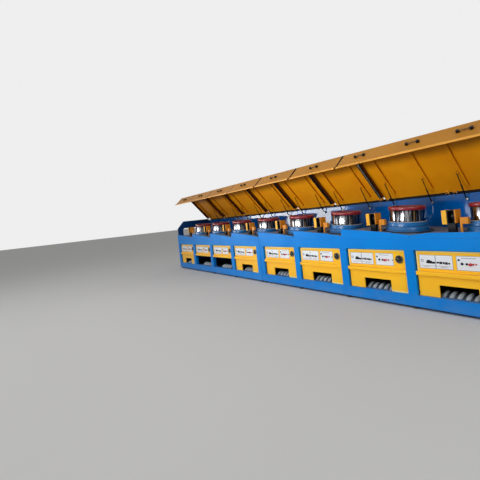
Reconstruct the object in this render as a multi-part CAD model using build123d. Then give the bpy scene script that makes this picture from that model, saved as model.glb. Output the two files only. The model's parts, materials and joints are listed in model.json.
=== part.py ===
"""Straight line wire drawing machine: eight drawing blocks on two frame modules.

X runs along the wire from the first block to the last, the operator's side faces -Y,
and Z is up from the floor. The origin is on the floor under the middle of the frame.
All lengths are in millimetres and all angles in degrees.
"""

from build123d import *
import math
import os

os.makedirs("parts", exist_ok=True)

# Driving sizes of the frame modules
modules = 2
blocks_per_module = 4
bay_pitch = 1250.0  # left edge of one front pillar to the next
pillar_w = 147.0
joint_gap = 8.0  # between the two modules
shim = 70.0  # side of the square plates bolted between the modules
frame_depth = 1430.0
foot_h = 40.0  # floor to the underside of the bottom rails
beam_d = 100.0  # depth of rails, pillars and top beams, front to back
rail_h = 170.0
opening_h = 673.0  # top of the bottom rail to the underside of the top beam
apron_h = 174.5
cross_beam_w = 80.0
pan_t = 6.0
pan_z = 10.0  # floor pans above the underside of the rails

# Levelling feet
foot_pad_r = 45.0
foot_pad_h = 14.0
foot_stem_r = 16.0
foot_sides = 6
stem_sides = 4

# Tables: all tilt but the last one, whose drum feeds no other
tilt_deg = 4.53
seam = 2.0  # open seam between tables that stand side by side
skirt_t = 25.0
skirt_back = 2.0  # the skirt's face behind the frame's face
skirt_high = 173.0  # skirt above the top beam, at a block's left end
skirt_low = 48.0  # and at its right end, past a bend in front of the drum
skirt_level = 80.0  # the level block's skirt above the top beam
skirt_rise = 300.0  # it climbs to that height over this length
deck_drop = 45.0  # the deck lies this much under the skirt's edge at a block's left end

# Drawing drums and their fixed bases
round_sides = 16  # flats of the large round pieces, which repeat on every block
drum_from_end = 423.75  # drum centre from a block's right end
drum_y = 660.0  # behind the front plane
tray_r = 400.0
tray_t = 14.0
base_r = 335.0
base_h = 90.0
drum_gap = 5.0  # between the fixed base and the turning flange
flange_r = 315.0
flange_h = 72.0
body_r = 277.0
body_h = 193.0
rim_r = 292.0
rim_h = 55.0
recess_r = 250.0
recess_d = 40.0
hub_r = 85.0
hub_h = 24.0
hub_sides = 6
shaft_r = 60.0
shaft_clear = 0.3
shaft_l = 40.0
shaft_sides = 6

# Die boxes and wire guides, on the wire's line in front of each drum
die_lead = 527.0  # die box's left side before the drum's centre
die_w = 192.0
die_y = 302.0
die_d = 155.0
die_z = 197.5  # underside above the top beam
die_h = 205.0
die_face_w = 68.0  # closed left part of the die box
die_cheek_t = 16.0
die_cheek_lift = 14.0
die_lip = 8.0  # cheeks stand this much in front of the box
die_wall = 14.0
die_deep = 120.0  # depth of the open chamber
holder_r = 48.0
holder_l = 46.0
holder_sides = 6
stand_d = 60.0
guide_lead = 305.0  # wire guide's left side before the drum's centre
guide_w = 110.0
guide_y = 330.0
guide_d = 60.0
guide_z = 192.5
guide_h = 95.0
post_w = 30.0
post_d = 20.0

# Panels in the front openings
panel_back = 45.0  # face of the panels behind the front plane
panel_t = 22.0
panel_gap = 2.0
ledge_z = 307.0  # underside of the ledge above the bottom rail
ledge_h = 57.0
ledge_out = 38.0  # how far the ledge stands out of the panels
cutout_w = 500.0
cutout_h = 177.0
open_bays = (1, 2)  # counted from 0: these bays have lost their lower door
gauge_in = 114.0  # gauge centre from the panel's right side
gauge_r = 65.0
gauge_out = 14.0
gauge_sides = 8
stop_in = 363.0  # stop button's centre from the panel's right side
stop_r = 20.0
stop_out = 26.0
stop_sides = 8
stop_drop = 22.0  # stop button below the gauge

# Ribbed air hoses behind the doors
hose_r = 125.0
hose_groove_r = 96.0
hose_ribs = 4
hose_pitch = 121.0
hose_y = 240.0
hose_sides = 6

# Rear wall, closing panels and end portals
wall_t = 75.0
wall_top = 582.5  # above the top beam
seal_t = 8.0
seal_h = 50.0  # strip on the wall's rear edge that closes the gap under the covers' tails
sheet_panel_t = 15.0
portal_t = 60.0
portal_leg_w = 200.0
portal_band_h = 262.0
portal_top = 645.5  # above the top beam
portal_front_h = 388.5  # height of the front leg above the top beam
portal_chamfer = 250.0
portal_fillet = 45.0

# Covers: u runs from the hinge axis towards the operator and v up, both with the cover closed
hinge_back = 46.0  # hinge axis in front of the frame's back
hinge_z = 624.5  # above the top beam
cover_open_deg = 48.5
flap_front = 8.0  # the closed flap in front of the frame's face
sheet_t = 3.0
sheet_v = 18.0  # underside of the roof sheet above the hinge axis
roof_tail = 10.0  # the roof sheet behind the hinge axis
knee_back = 7.0  # fold between roof and slope behind the portal's corner
brow_drop = 4.0  # fold between slope and flap below the portal's corner
flap_h = 364.0
flange_d = 85.0
flange_end = 180.0  # the side flanges end this much below the fold between slope and flap
flange_cut = 30.0
flange_u0 = 60.0
hem_t = 14.0
hem_h = 42.0
hem_flat = 22.0
end_gap = 8.0  # between an end portal and its cover
cover_gaps = (12.0, 12.0, 14.0, 40.0, 44.0, 30.0)  # between one cover and the next
rib_in = (292.0, 273.75)  # rib centres from a block's left and right ends
rib_w = 40.0
rib_d = 35.0
rib_u0 = 100.0
rib_end = 42.0  # ribs end this much before the fold between roof and slope
handle_l = 206.0
handle_off = 42.0
handle_bar = 18.0
handle_block = 36.0
handle_drop = 150.0  # below the fold between slope and flap
handle_back = 4.0  # bar behind the front of its end blocks
wide_handles = (459.0, 1402.0, 2118.0)  # from the wide cover's left block end

# Hinges
knuckle_r = 14.0
knuckle_w = 40.0
knuckle_sides = 6
arm_back = 8.0
arm_front = 30.0
pin_r = 6.0
pin_clear = 0.3
pin_sides = 6
hinge_side_gap = 0.3
hinge_cheek_t = 10.0
hinge_foot = 30.0  # half the length of a hinge cheek's foot
hinge_tip = 9.0
hinge_in = 62.0  # hinge centre from the cover's side

# Gas struts
strut_off = 47.0  # strut beside its rib
strut_foot_out = 30.0  # foot pivot in front of the rear wall
strut_foot_z = 482.5  # above the top beam
strut_top_u = 420.0
strut_top_v = -25.0
cylinder_r = 11.0
cylinder_l = 276.0  # foot pivot to the cylinder's open end
bore_r = 6.2
bore_end = 60.0  # foot pivot to the bottom of the bore
rod_r = 5.2
rod_sides = 6
rod_in = 30.0  # rod inside the cylinder with the cover open
strut_sides = 6
eye_w = 16.0
eye_h = 19.0
neck_h = 14.0
neck_l = 24.0  # foot pivot to the cylinder
eye_gap = 0.4  # between an eye and its lug
foot_pin_r = 4.5
lug_r = 16.0
lug_root = 1.6  # a foot lug's half height at the wall, in lug radii

# Derived sizes
module_l = blocks_per_module * bay_pitch + pillar_w
total_l = modules * module_l + (modules - 1) * joint_gap
block_pitch = (module_l + joint_gap) / blocks_per_module
blocks = modules * blocks_per_module
x_left = -total_l / 2
x_right = total_l / 2
y_front = -frame_depth / 2
y_back = frame_depth / 2
z_open = foot_h + rail_h
z_apron = z_open + opening_h
z_top = z_apron + apron_h
z_pan = foot_h + pan_z
slope = math.tan(math.radians(tilt_deg))
drum_x = block_pitch - drum_from_end
hinge_y = frame_depth - hinge_back
y_h = y_front + hinge_y
z_h = z_top + hinge_z
brow_u = hinge_y + flap_front
brow_v = portal_front_h - hinge_z - brow_drop
knee_u = hinge_y - skirt_t - portal_chamfer - knee_back
rib_u1 = knee_u - rib_end
rib_x = (rib_in[0], block_pitch - rib_in[1])
open_rad = math.radians(cover_open_deg)


def block_x(k):
    """Left end of block k, counted from 0."""
    return x_left + k * block_pitch


def bay_x(k):
    """Left edge of the pillar left of bay k, counted from 0."""
    module = k // blocks_per_module
    return x_left + module * (module_l + joint_gap) + (k % blocks_per_module) * bay_pitch


def is_level(k):
    """Whether block k's table lies level, at the tilted tables' low end."""
    return k == blocks - 1


def deck_z(k, dx):
    """Height of block k's deck at dx from the block's left end."""
    return z_top + skirt_high - deck_drop - slope * (block_pitch if is_level(k) else dx)


def drum_sink(k):
    """How much lower block k's drum stands than a tilted block's."""
    return deck_z(0, drum_x) - deck_z(k, drum_x)


def skirt_edge(k, w):
    """Top edge of block k's front skirt, w long, as points from its left end and the top beam."""
    if is_level(k):
        return [(0, skirt_low), (skirt_rise, skirt_level), (w, skirt_level)]
    return [(0, skirt_high), (drum_x, skirt_high - slope * drum_x), (w, skirt_low)]


def block(x0, x1, y0, y1, z0, z1):
    """A box between two corners."""
    return Pos((x0 + x1) / 2, (y0 + y1) / 2, (z0 + z1) / 2) * Box(x1 - x0, y1 - y0, z1 - z0)


def along_x(points, x0, x1):
    """A prism from x0 to x1 with the outline given as (y, z) points."""
    plane = Plane(origin=(x0, 0, 0), x_dir=(0, 1, 0), z_dir=(1, 0, 0))
    return extrude(plane * make_face(Polyline(*points, close=True)), amount=x1 - x0)


def along_y(points, y0, y1):
    """A prism from y0 to y1 with the outline given as (x, z) points."""
    plane = Plane(origin=(0, y0, 0), x_dir=(1, 0, 0), z_dir=(0, -1, 0))
    return extrude(plane * make_face(Polyline(*points, close=True)), amount=y0 - y1)


def rod_x(r, sides, x0, x1, y, z):
    """A flat-sided rod along X."""
    plane = Plane(origin=(x0, y, z), x_dir=(0, 1, 0), z_dir=(1, 0, 0))
    return extrude(plane * RegularPolygon(r, sides), amount=x1 - x0)


def stub_y(r, sides, x, y0, y1, z):
    """A flat-sided round that faces the operator, from y0 back to y1."""
    plane = Plane(origin=(x, y1, z), x_dir=(1, 0, 0), z_dir=(0, -1, 0))
    return extrude(plane * RegularPolygon(r, sides), amount=y1 - y0)


def disc(r, z0, z1, sides=round_sides):
    """A flat-sided round about Z."""
    return Pos(0, 0, z0) * extrude(Plane.XY * RegularPolygon(r, sides), amount=z1 - z0)


def ring_points(r, sides, x, y, z):
    """Corners of a polygon across X that stands on one of its flats."""
    turns = [math.pi * (2 * i + 1) / sides for i in range(sides)]
    return [(x, y + r * math.sin(a), z + r * math.cos(a)) for a in turns]


def faceted(rings):
    """A solid with flat faces between rings of corners, closed at both ends."""
    faces = [make_face(Polyline(*ring, close=True)) for ring in (rings[0], rings[-1])]
    for near, far in zip(rings, rings[1:]):
        for i in range(len(near)):
            j = (i + 1) % len(near)
            faces.append(make_face(Polyline(near[i], near[j], far[j], far[i], close=True)))
    return Solid(Shell([f.face() for f in faces]))


def around(r, clear, sides):
    """Corner radius of a flat-sided bore whose flats clear a round of radius r."""
    return (r + clear) / math.cos(math.pi / sides)


def save(name, *shapes):
    """Writes one node."""
    solids = [s for shape in shapes for s in shape.solids()]
    export_step(Compound(children=solids) if len(solids) > 1 else solids[0], f"parts/{name}.step")


# Frame modules
rails, cross_beams, pillars, beams, pans, feet, shims = [], [], [], [], [], [], []
for m in range(modules):
    x0 = x_left + m * (module_l + joint_gap)
    for y0 in (y_front, y_back - beam_d):
        rails.append(block(x0, x0 + module_l, y0, y0 + beam_d, foot_h, z_open))
        beams.append(block(x0, x0 + module_l, y0, y0 + beam_d, z_apron, z_top))
    for k in range(blocks_per_module + 1):
        px = x0 + k * bay_pitch
        cx = px + pillar_w / 2
        cross_beams.append(block(cx - cross_beam_w / 2, cx + cross_beam_w / 2,
                                 y_front + beam_d, y_back - beam_d, foot_h, z_open))
        for y0 in (y_front, y_back - beam_d):
            pillars.append(block(px, px + pillar_w, y0, y0 + beam_d, z_open, z_apron))
            foot = disc(foot_pad_r, 0, foot_pad_h, foot_sides) + disc(foot_stem_r, 0, foot_h, stem_sides)
            feet.append(Pos(cx, y0 + beam_d / 2, 0) * foot)
        if k < blocks_per_module:
            pans.append(block(cx + cross_beam_w / 2, cx + bay_pitch - cross_beam_w / 2,
                              y_front + beam_d, y_back - beam_d, z_pan, z_pan + pan_t))
    if m > 0:
        for yc in (y_front + beam_d / 2, y_back - beam_d / 2):
            for zc in (foot_h + rail_h / 2, z_apron + apron_h / 2):
                shims.append(block(x0 - joint_gap, x0, yc - shim / 2, yc + shim / 2,
                                   zc - shim / 2, zc + shim / 2))
save("bottom_rails", *rails)
save("base_cross_beams", *cross_beams)
save("pillars", *pillars)
save("top_beams", *beams)
save("base_pans", *pans)
save("levelling_feet", *feet)
save("joint_plates", *shims)

# Tables and their front skirts
decks, skirts = [], []
for k in range(blocks):
    x0 = block_x(k)
    ends_module = (k + 1) % blocks_per_module == 0
    w = block_pitch - (joint_gap if ends_module else seam)
    d0 = portal_t if k == 0 else 0.0
    d1 = w - portal_t if k == blocks - 1 else w
    decks.append(along_y([(x0 + d0, z_top), (x0 + d1, z_top),
                          (x0 + d1, deck_z(k, d1)), (x0 + d0, deck_z(k, d0))],
                         y_front + skirt_t, y_back - wall_t))
    edge = [(x0 + dx, z_top + dz) for dx, dz in skirt_edge(k, w)]
    skirts.append(along_y([(x0, z_top), *edge, (x0 + w, z_top)], y_front + skirt_back, y_front + skirt_t))
save("block_decks", *decks)
save("front_skirts", *skirts)

# Drums: a fixed base with its splash tray, and the turning drum with its stub shaft
flange_z = base_h + drum_gap
body_z = flange_z + flange_h
rim_z = body_z + body_h
drum_top = rim_z + rim_h
base = disc(tray_r, 0, tray_t) + disc(base_r, 0, base_h)
base -= disc(around(shaft_r, shaft_clear, shaft_sides), base_h - shaft_l, base_h, shaft_sides)
drum = disc(shaft_r, base_h - shaft_l, flange_z, shaft_sides) + disc(flange_r, flange_z, body_z)
drum += disc(body_r, body_z, rim_z) + disc(rim_r, rim_z, drum_top)
drum -= disc(recess_r, drum_top - recess_d, drum_top)
drum += disc(hub_r, drum_top - recess_d, drum_top - recess_d + hub_h, hub_sides)
bases = []
for k in range(blocks):
    tilt = 0 if is_level(k) else tilt_deg
    place = Pos(block_x(k) + drum_x, y_front + drum_y, deck_z(k, drum_x)) * Rot(0, tilt, 0)
    bases.append(place * base)
    save(f"drum_{k + 1}", place * drum)
save("drum_bases", *bases)

# Die boxes with their open chamber and die holder, and the wire guides
die_bodies, die_cheeks, guides = [], [], []
for k in range(blocks):
    z_die = z_top + die_z - drum_sink(k)
    z_die_top = z_die + die_h
    z_guide = z_top + guide_z - drum_sink(k)
    dx = drum_x - die_lead
    x0 = block_x(k) + dx
    y0 = y_front + die_y
    xb0 = x0 + die_face_w
    xb1 = x0 + die_w - die_cheek_t
    body = block(xb0, xb1, y0, y0 + die_d, z_die, z_die_top)
    body -= block(xb0 + die_wall, xb1 - die_wall, y0, y0 + die_deep, z_die + die_wall, z_die_top - die_wall)
    body += rod_x(holder_r, holder_sides, xb1 - die_wall - holder_l, xb1 - die_wall,
                  y0 + die_deep / 2, (z_die + z_die_top) / 2)
    body += along_y([(xb0, deck_z(k, xb0 - block_x(k))), (xb1, deck_z(k, xb1 - block_x(k))),
                     (xb1, z_die), (xb0, z_die)], y0, y0 + stand_d)
    die_bodies.append(body)
    die_cheeks.append(block(x0, xb0, y0 - die_lip, y0 + die_d, z_die, z_die_top))
    die_cheeks.append(block(xb1, x0 + die_w, y0 - die_lip, y0 + die_d, z_die + die_cheek_lift, z_die_top))
    dx = drum_x - guide_lead
    x0 = block_x(k) + dx
    y0 = y_front + guide_y
    post = along_y([(x0, deck_z(k, dx)), (x0 + post_w, deck_z(k, dx + post_w)),
                    (x0 + post_w, z_guide), (x0, z_guide)], y0, y0 + post_d)
    guides.append(post + block(x0, x0 + guide_w, y0, y0 + guide_d, z_guide, z_guide + guide_h))
save("die_boxes", *die_bodies)
save("die_box_cheeks", *die_cheeks)
save("wire_guides", *guides)

# Front panels, their instruments, and the hoses behind them
upper_panels, ledges, doors, hoses, gauges, stops = [], [], [], [], [], []
yp = y_front + panel_back
z_ledge = z_open + ledge_z
z_gauge = (z_ledge + ledge_h + z_apron) / 2
hose_low = hose_r * math.cos(math.pi / hose_sides)
for k in range(blocks):
    x0 = bay_x(k) + pillar_w + panel_gap
    x1 = bay_x(k) + bay_pitch - panel_gap
    xc = (x0 + x1) / 2
    upper_panels.append(block(x0, x1, yp, yp + panel_t, z_ledge + ledge_h, z_apron))
    ledges.append(block(x0, x1, yp - ledge_out, yp + panel_t, z_ledge, z_ledge + ledge_h))
    if k not in open_bays:
        door = block(x0, x1, yp, yp + panel_t, z_open, z_ledge)
        door -= block(xc - cutout_w / 2, xc + cutout_w / 2, yp, yp + panel_t, z_open, z_open + cutout_h)
        doors.append(door)
    gauges.append(stub_y(gauge_r, gauge_sides, x1 - gauge_in, yp - gauge_out, yp, z_gauge))
    stops.append(stub_y(stop_r, stop_sides, x1 - stop_in, yp - stop_out, yp, z_gauge - stop_drop))
    rings = []
    for i in range(2 * hose_ribs + 1):
        r = hose_r if i % 2 else hose_groove_r
        x = xc + (i - hose_ribs) * hose_pitch / 2
        rings.append(ring_points(r, hose_sides, x, y_front + hose_y, z_pan + pan_t + hose_low))
    hoses.append(faceted(rings))
save("instrument_panels", *upper_panels)
save("panel_ledges", *ledges)
save("lower_doors", *doors)
save("panel_gauges", *gauges)
save("stop_buttons", *stops)
save("air_hoses", *hoses)

# Rear wall, rear panels and ends
walls, seals, rear_panels, end_panels = [], [], [], []
for m in range(modules):
    x0 = x_left + m * (module_l + joint_gap)
    walls.append(block(x0, x0 + module_l, y_back - wall_t, y_back, z_top, z_top + wall_top))
    seals.append(block(x0, x0 + module_l, y_back - seal_t, y_back,
                       z_top + wall_top, z_top + wall_top + seal_h))
for k in range(blocks):
    rear_panels.append(block(bay_x(k) + pillar_w + panel_gap, bay_x(k) + bay_pitch - panel_gap,
                             y_back - panel_back, y_back - panel_back + sheet_panel_t, z_open, z_apron))
for x0 in (x_left + panel_back / 2, x_right - panel_back / 2 - sheet_panel_t):
    end_panels.append(block(x0, x0 + sheet_panel_t, y_front + beam_d, y_back - beam_d, z_open, z_top))
save("rear_walls", *walls)
save("roof_seals", *seals)
save("rear_panels", *rear_panels)
save("end_panels", *end_panels)

# End portals
yw = y_back - wall_t
yf = y_front + skirt_t


def portal(sill):
    """Outline of an end portal whose sill is this high above the top beam."""
    y_leg = yf + portal_leg_w
    z_band = z_top + portal_top - portal_band_h
    return [
        (yf, z_top), (yw, z_top), (yw, z_top + sill), (y_leg, z_top + sill),
        (y_leg, z_band - portal_fillet), (y_leg + portal_fillet, z_band), (yw, z_band),
        (yw, z_top + wall_top), (yw - portal_top + wall_top, z_top + portal_top),
        (yf + portal_chamfer, z_top + portal_top), (yf, z_top + portal_front_h),
    ]


save("end_portals",
     along_x(portal(deck_z(0, 0) - z_top), x_left, x_left + portal_t),
     along_x(portal(deck_z(blocks - 1, 0) - z_top), x_right - portal_t, x_right))


# Covers
def opened(u, v):
    """Closed cover coordinates to the open position, as (y, z)."""
    c, s = math.cos(open_rad), math.sin(open_rad)
    return (y_h - (u * c - v * s), z_h + (u * s + v * c))


def cover_prism(points, x0, x1):
    """A prism along X with its outline in closed cover coordinates, turned open."""
    return along_x([opened(u, v) for u, v in points], x0, x1)


# Half the bend angles at the two folds, for mitred corners
slope_angle = math.atan2(sheet_v - brow_v, brow_u - knee_u)
mitre_knee = math.tan(slope_angle / 2)
mitre_brow = math.tan((math.pi / 2 - slope_angle) / 2)
flap_v = brow_v - flap_h
flange_v = brow_v - flange_end
shell = [
    (-roof_tail, sheet_v), (knee_u, sheet_v), (brow_u, brow_v), (brow_u, flap_v),
    (brow_u + sheet_t, flap_v), (brow_u + sheet_t, brow_v + sheet_t * mitre_brow),
    (knee_u + sheet_t * mitre_knee, sheet_v + sheet_t), (-roof_tail, sheet_v + sheet_t),
]
side_flange = [
    (flange_u0, sheet_v), (flange_u0 + flange_cut, sheet_v - flange_d),
    (knee_u - flange_d * mitre_knee, sheet_v - flange_d), (brow_u - flange_d, brow_v - flange_d * mitre_brow),
    (brow_u - flange_d, flange_v + flange_cut), (brow_u - flange_d + flange_cut, flange_v),
    (brow_u, flange_v), (brow_u, brow_v), (knee_u, sheet_v),
]
rib = [
    (rib_u0, sheet_v), (rib_u1, sheet_v),
    (rib_u1 - rib_d, sheet_v - rib_d), (rib_u0 + rib_d, sheet_v - rib_d),
]
rib_hollow = [
    (rib_u0 + rib_d, sheet_v), (rib_u1 - rib_d, sheet_v),
    (rib_u1 - rib_d, sheet_v - rib_d + sheet_t), (rib_u0 + rib_d, sheet_v - rib_d + sheet_t),
]
face_u = brow_u + sheet_t
hem = [
    (face_u, flap_v), (face_u + hem_t, flap_v + (hem_h - hem_flat) / 2),
    (face_u + hem_t, flap_v + (hem_h + hem_flat) / 2), (face_u, flap_v + hem_h),
]
top_lug = [
    (strut_top_u - lug_r, sheet_v), (strut_top_u + lug_r, sheet_v),
    (strut_top_u + lug_r, strut_top_v - lug_r / 2), (strut_top_u + lug_r / 2, strut_top_v - lug_r),
    (strut_top_u - lug_r / 2, strut_top_v - lug_r), (strut_top_u - lug_r, strut_top_v - lug_r / 2),
]
arm = [(-arm_back, 0), (arm_front - sheet_v, 0), (arm_front, sheet_v), (-arm_back, sheet_v)]


def handle_at(x):
    """Grab handle on the flap: a bar between two end blocks."""
    v1 = brow_v - handle_drop
    v0 = v1 - handle_block
    u1 = face_u + handle_off
    u0 = u1 - handle_back - handle_bar
    rim = (handle_block - handle_bar) / 2
    half = handle_l / 2
    u2 = u1 - handle_back
    out = cover_prism([(u0, v0 + rim), (u2, v0 + rim), (u2, v1 - rim), (u0, v1 - rim)],
                      x - half + handle_block, x + half - handle_block)
    for xb in (x - half, x + half - handle_block):
        out += cover_prism([(face_u, v0), (u1, v0), (u1, v1), (face_u, v1)], xb, xb + handle_block)
    return out


# Struts stand between a lug on the rear wall and a lug on the cover's rib
foot_y, foot_z = y_back - wall_t - strut_foot_out, z_top + strut_foot_z
top_y, top_z = opened(strut_top_u, strut_top_v)
strut_l = math.hypot(top_y - foot_y, top_z - foot_z)
strut_dir = (0, (top_y - foot_y) / strut_l, (top_z - foot_z) / strut_l)
foot_lug = [
    (foot_y - lug_r, foot_z - lug_r / 2), (foot_y - lug_r / 2, foot_z - lug_r),
    (y_back - wall_t, foot_z - lug_root * lug_r), (y_back - wall_t, foot_z + lug_root * lug_r),
    (foot_y - lug_r / 2, foot_z + lug_r), (foot_y - lug_r, foot_z + lug_r / 2),
]
hinge_cheek = [
    (y_h - hinge_foot, z_top + wall_top), (y_h + hinge_foot, z_top + wall_top),
    (y_h + hinge_tip, z_h + hinge_tip), (y_h - hinge_tip, z_h + hinge_tip),
]


def cylinder_at(x):
    """Gas strut's cylinder with its neck and bored foot eye."""
    axis = Plane(origin=(x, foot_y, foot_z), x_dir=(1, 0, 0), z_dir=strut_dir)
    out = extrude(axis.offset(neck_l) * RegularPolygon(cylinder_r, strut_sides), amount=cylinder_l - neck_l)
    out -= extrude(axis.offset(bore_end) * RegularPolygon(bore_r, strut_sides), amount=cylinder_l - bore_end)
    out += extrude(axis * Rectangle(eye_w, neck_h), amount=neck_l)
    out += block(x - eye_w / 2, x + eye_w / 2, foot_y - eye_h / 2, foot_y + eye_h / 2,
                 foot_z - eye_h / 2, foot_z + eye_h / 2)
    bore = around(foot_pin_r, pin_clear, pin_sides)
    return out - rod_x(bore, pin_sides, x - eye_w / 2, x + eye_w / 2, foot_y, foot_z)


def rod_at(x):
    """Gas strut's rod with its top eye."""
    axis = Plane(origin=(x, foot_y, foot_z), x_dir=(1, 0, 0), z_dir=strut_dir)
    start = cylinder_l - rod_in
    out = extrude(axis.offset(start) * RegularPolygon(rod_r, rod_sides), amount=strut_l - start)
    return out + block(x - eye_w / 2, x + eye_w / 2, top_y - eye_h / 2, top_y + eye_h / 2,
                       top_z - eye_h / 2, top_z + eye_h / 2)


# Each cover as (its first block, how many blocks it spans), with its hinges and struts
covers = [(k, 1) for k in range(blocks - 2)] + [(blocks - 2, 2)]
hinge_brackets, strut_brackets = [], []
for number, (first, span) in enumerate(covers, start=1):
    is_last = first + span == blocks
    x0 = block_x(first) + (portal_t + end_gap if first == 0 else cover_gaps[number - 2] / 2)
    x1 = x_right - portal_t - end_gap if is_last else block_x(first + span) - cover_gaps[number - 1] / 2
    cover = cover_prism(shell, x0, x1) + cover_prism(hem, x0, x1)
    for fx in (x0, x1 - sheet_t):
        cover += cover_prism(side_flange, fx, fx + sheet_t)
    rods, cylinders = [], []
    for xr in [block_x(first + i) + rx for i in range(span) for rx in rib_x]:
        r0, r1 = xr - rib_w / 2, xr + rib_w / 2
        xs = xr - strut_off
        lug_x = xs + eye_w / 2 + eye_gap
        cover += cover_prism(rib, r0, r1)
        cover -= cover_prism(rib_hollow, r0 + sheet_t, r1 - sheet_t)
        cover += cover_prism(top_lug, lug_x, r0)
        pin = rod_x(foot_pin_r, pin_sides, xs - eye_w / 2, lug_x, foot_y, foot_z)
        strut_brackets.append(along_x(foot_lug, lug_x, r0) + pin)
        cylinders.append(cylinder_at(xs))
        rods.append(rod_at(xs))
    hinge_xs = [x0 + hinge_in, x1 - hinge_in]
    for i in range(1, span):
        hinge_xs += [block_x(first + i) - hinge_in, block_x(first + i) + hinge_in]
    for hx in hinge_xs:
        k0, k1 = hx - knuckle_w / 2, hx + knuckle_w / 2
        c0, c1 = k0 - hinge_side_gap, k1 + hinge_side_gap
        cover += rod_x(knuckle_r, knuckle_sides, k0, k1, y_h, z_h) + cover_prism(arm, k0, k1)
        cover -= rod_x(around(pin_r, pin_clear, pin_sides), pin_sides, k0, k1, y_h, z_h)
        bracket = along_x(hinge_cheek, c0 - hinge_cheek_t, c0) + along_x(hinge_cheek, c1, c1 + hinge_cheek_t)
        hinge_brackets.append(bracket + rod_x(pin_r, pin_sides, c0, c1, y_h, z_h))
    handles = [(x0 + x1) / 2] if span == 1 else [block_x(first) + h for h in wide_handles]
    for hx in handles:
        cover += handle_at(hx)
    save(f"cover_{number}", cover)
    save(f"strut_cylinders_{number}", *cylinders)
    save(f"strut_rods_{number}", *rods)
save("hinge_brackets", *hinge_brackets)
save("strut_brackets", *strut_brackets)
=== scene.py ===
"""Looks of a straight line wire drawing machine with eight blocks on two frame modules.

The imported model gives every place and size, in metres. X runs along the wire, the operator's
side faces -Y and Z is up. Each sub-assembly is a class that shapes its meshes and gives them
their finishes.
"""

import json
import logging
import math
from dataclasses import dataclass
from enum import Enum
from typing import Callable, Iterable, Sequence

import bpy
from mathutils import Matrix, Vector


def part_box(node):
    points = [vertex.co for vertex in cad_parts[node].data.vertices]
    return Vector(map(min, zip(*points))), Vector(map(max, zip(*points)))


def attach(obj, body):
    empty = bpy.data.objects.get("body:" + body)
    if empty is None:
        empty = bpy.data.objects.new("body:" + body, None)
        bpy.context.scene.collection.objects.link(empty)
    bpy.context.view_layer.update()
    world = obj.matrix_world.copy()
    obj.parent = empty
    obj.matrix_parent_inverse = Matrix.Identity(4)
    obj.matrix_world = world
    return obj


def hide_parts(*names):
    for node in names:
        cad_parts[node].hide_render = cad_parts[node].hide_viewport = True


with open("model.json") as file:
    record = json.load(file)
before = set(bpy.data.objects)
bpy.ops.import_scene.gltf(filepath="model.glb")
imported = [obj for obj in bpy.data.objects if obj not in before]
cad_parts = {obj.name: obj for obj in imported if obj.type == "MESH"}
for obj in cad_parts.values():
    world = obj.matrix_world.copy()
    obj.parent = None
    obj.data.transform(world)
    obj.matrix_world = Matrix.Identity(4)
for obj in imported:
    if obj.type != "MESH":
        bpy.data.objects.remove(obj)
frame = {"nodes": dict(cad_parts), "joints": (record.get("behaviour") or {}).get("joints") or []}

log = logging.getLogger("machine")
Point = tuple[float, float, float]
Flat = tuple[float, float]
Colour = tuple[float, float, float, float]
Mark = tuple[float, float, float, float]
Face = bpy.types.MeshPolygon
FaceTest = Callable[[Face], bool]
Socket, Tree, Material = bpy.types.NodeSocket, bpy.types.NodeTree, bpy.types.Material
MERGE_DISTANCE = 1e-5
FLAT_DEG = 0.5
SHARP_DEG = 25.0
FRAME_BODY = "frame"
BLOCKS = 8
HERE = Matrix.Identity(4)
TO_FRONT = Matrix.Rotation(math.pi / 2, 4, "X")
COLOUR, NUMBER = "NodeSocketColor", "NodeSocketFloat"
MID_GREY = (0.5, 0.5, 0.5, 1.0)
MIX_INPUTS, MIX_RESULT = (0, 6, 7), 2
CLOUD_EDGES, PATCH_EDGES, UPWARD_EDGES = (0.38, 0.68), (0.3, 0.75), (0.5, 1.0)
CHIP_EDGES, CHIP_PLACES = (0.66, 0.72), (0.45, 0.7)
REFLECTION_BAND_EDGES, GROOVE_EDGES = (0.45, 0.6), (0.55, 0.8)
LEAST_DUST, SKIN_GRAIN, SHADE_RAGGED = 0.35, 0.06, 0.04


def srgb(red: int, green: int, blue: int) -> Colour:
    """A colour from its screen values.

    Args:
        red, green, blue: Screen values from 0 to 255.

    Returns:
        The linear colour with full alpha.
    """

    def linear(value: int) -> float:
        """One channel made linear."""
        share = value / 255
        return share / 12.92 if share <= 0.04045 else ((share + 0.055) / 1.055) ** 2.4

    return (linear(red), linear(green), linear(blue), 1.0)


class Slot(Enum):
    """Material slots of the record."""

    FRAME_BLUE = "frame_blue"
    WALL_BLUE = "wall_blue"
    PANEL_YELLOW = "panel_yellow"
    COVER_YELLOW = "cover_yellow"
    DRUM_STEEL = "drum_steel"
    BASE_BLUE = "base_blue"
    DIE_BLACK = "die_black"
    CHEEK_YELLOW = "cheek_yellow"
    HOSE_GREY = "hose_grey"
    DARK_METAL = "dark_metal"
    STRUT_BLACK = "strut_black"
    ROD_CHROME = "rod_chrome"
    ZINC = "zinc"
    GAUGE_BLACK = "gauge_black"
    SIGNAL_RED = "signal_red"
    SEAL_BLACK = "seal_black"


def joint(name: str) -> dict:
    """The record's joint of that name."""
    return next(j for j in frame["joints"] if j["name"] == name)


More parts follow.
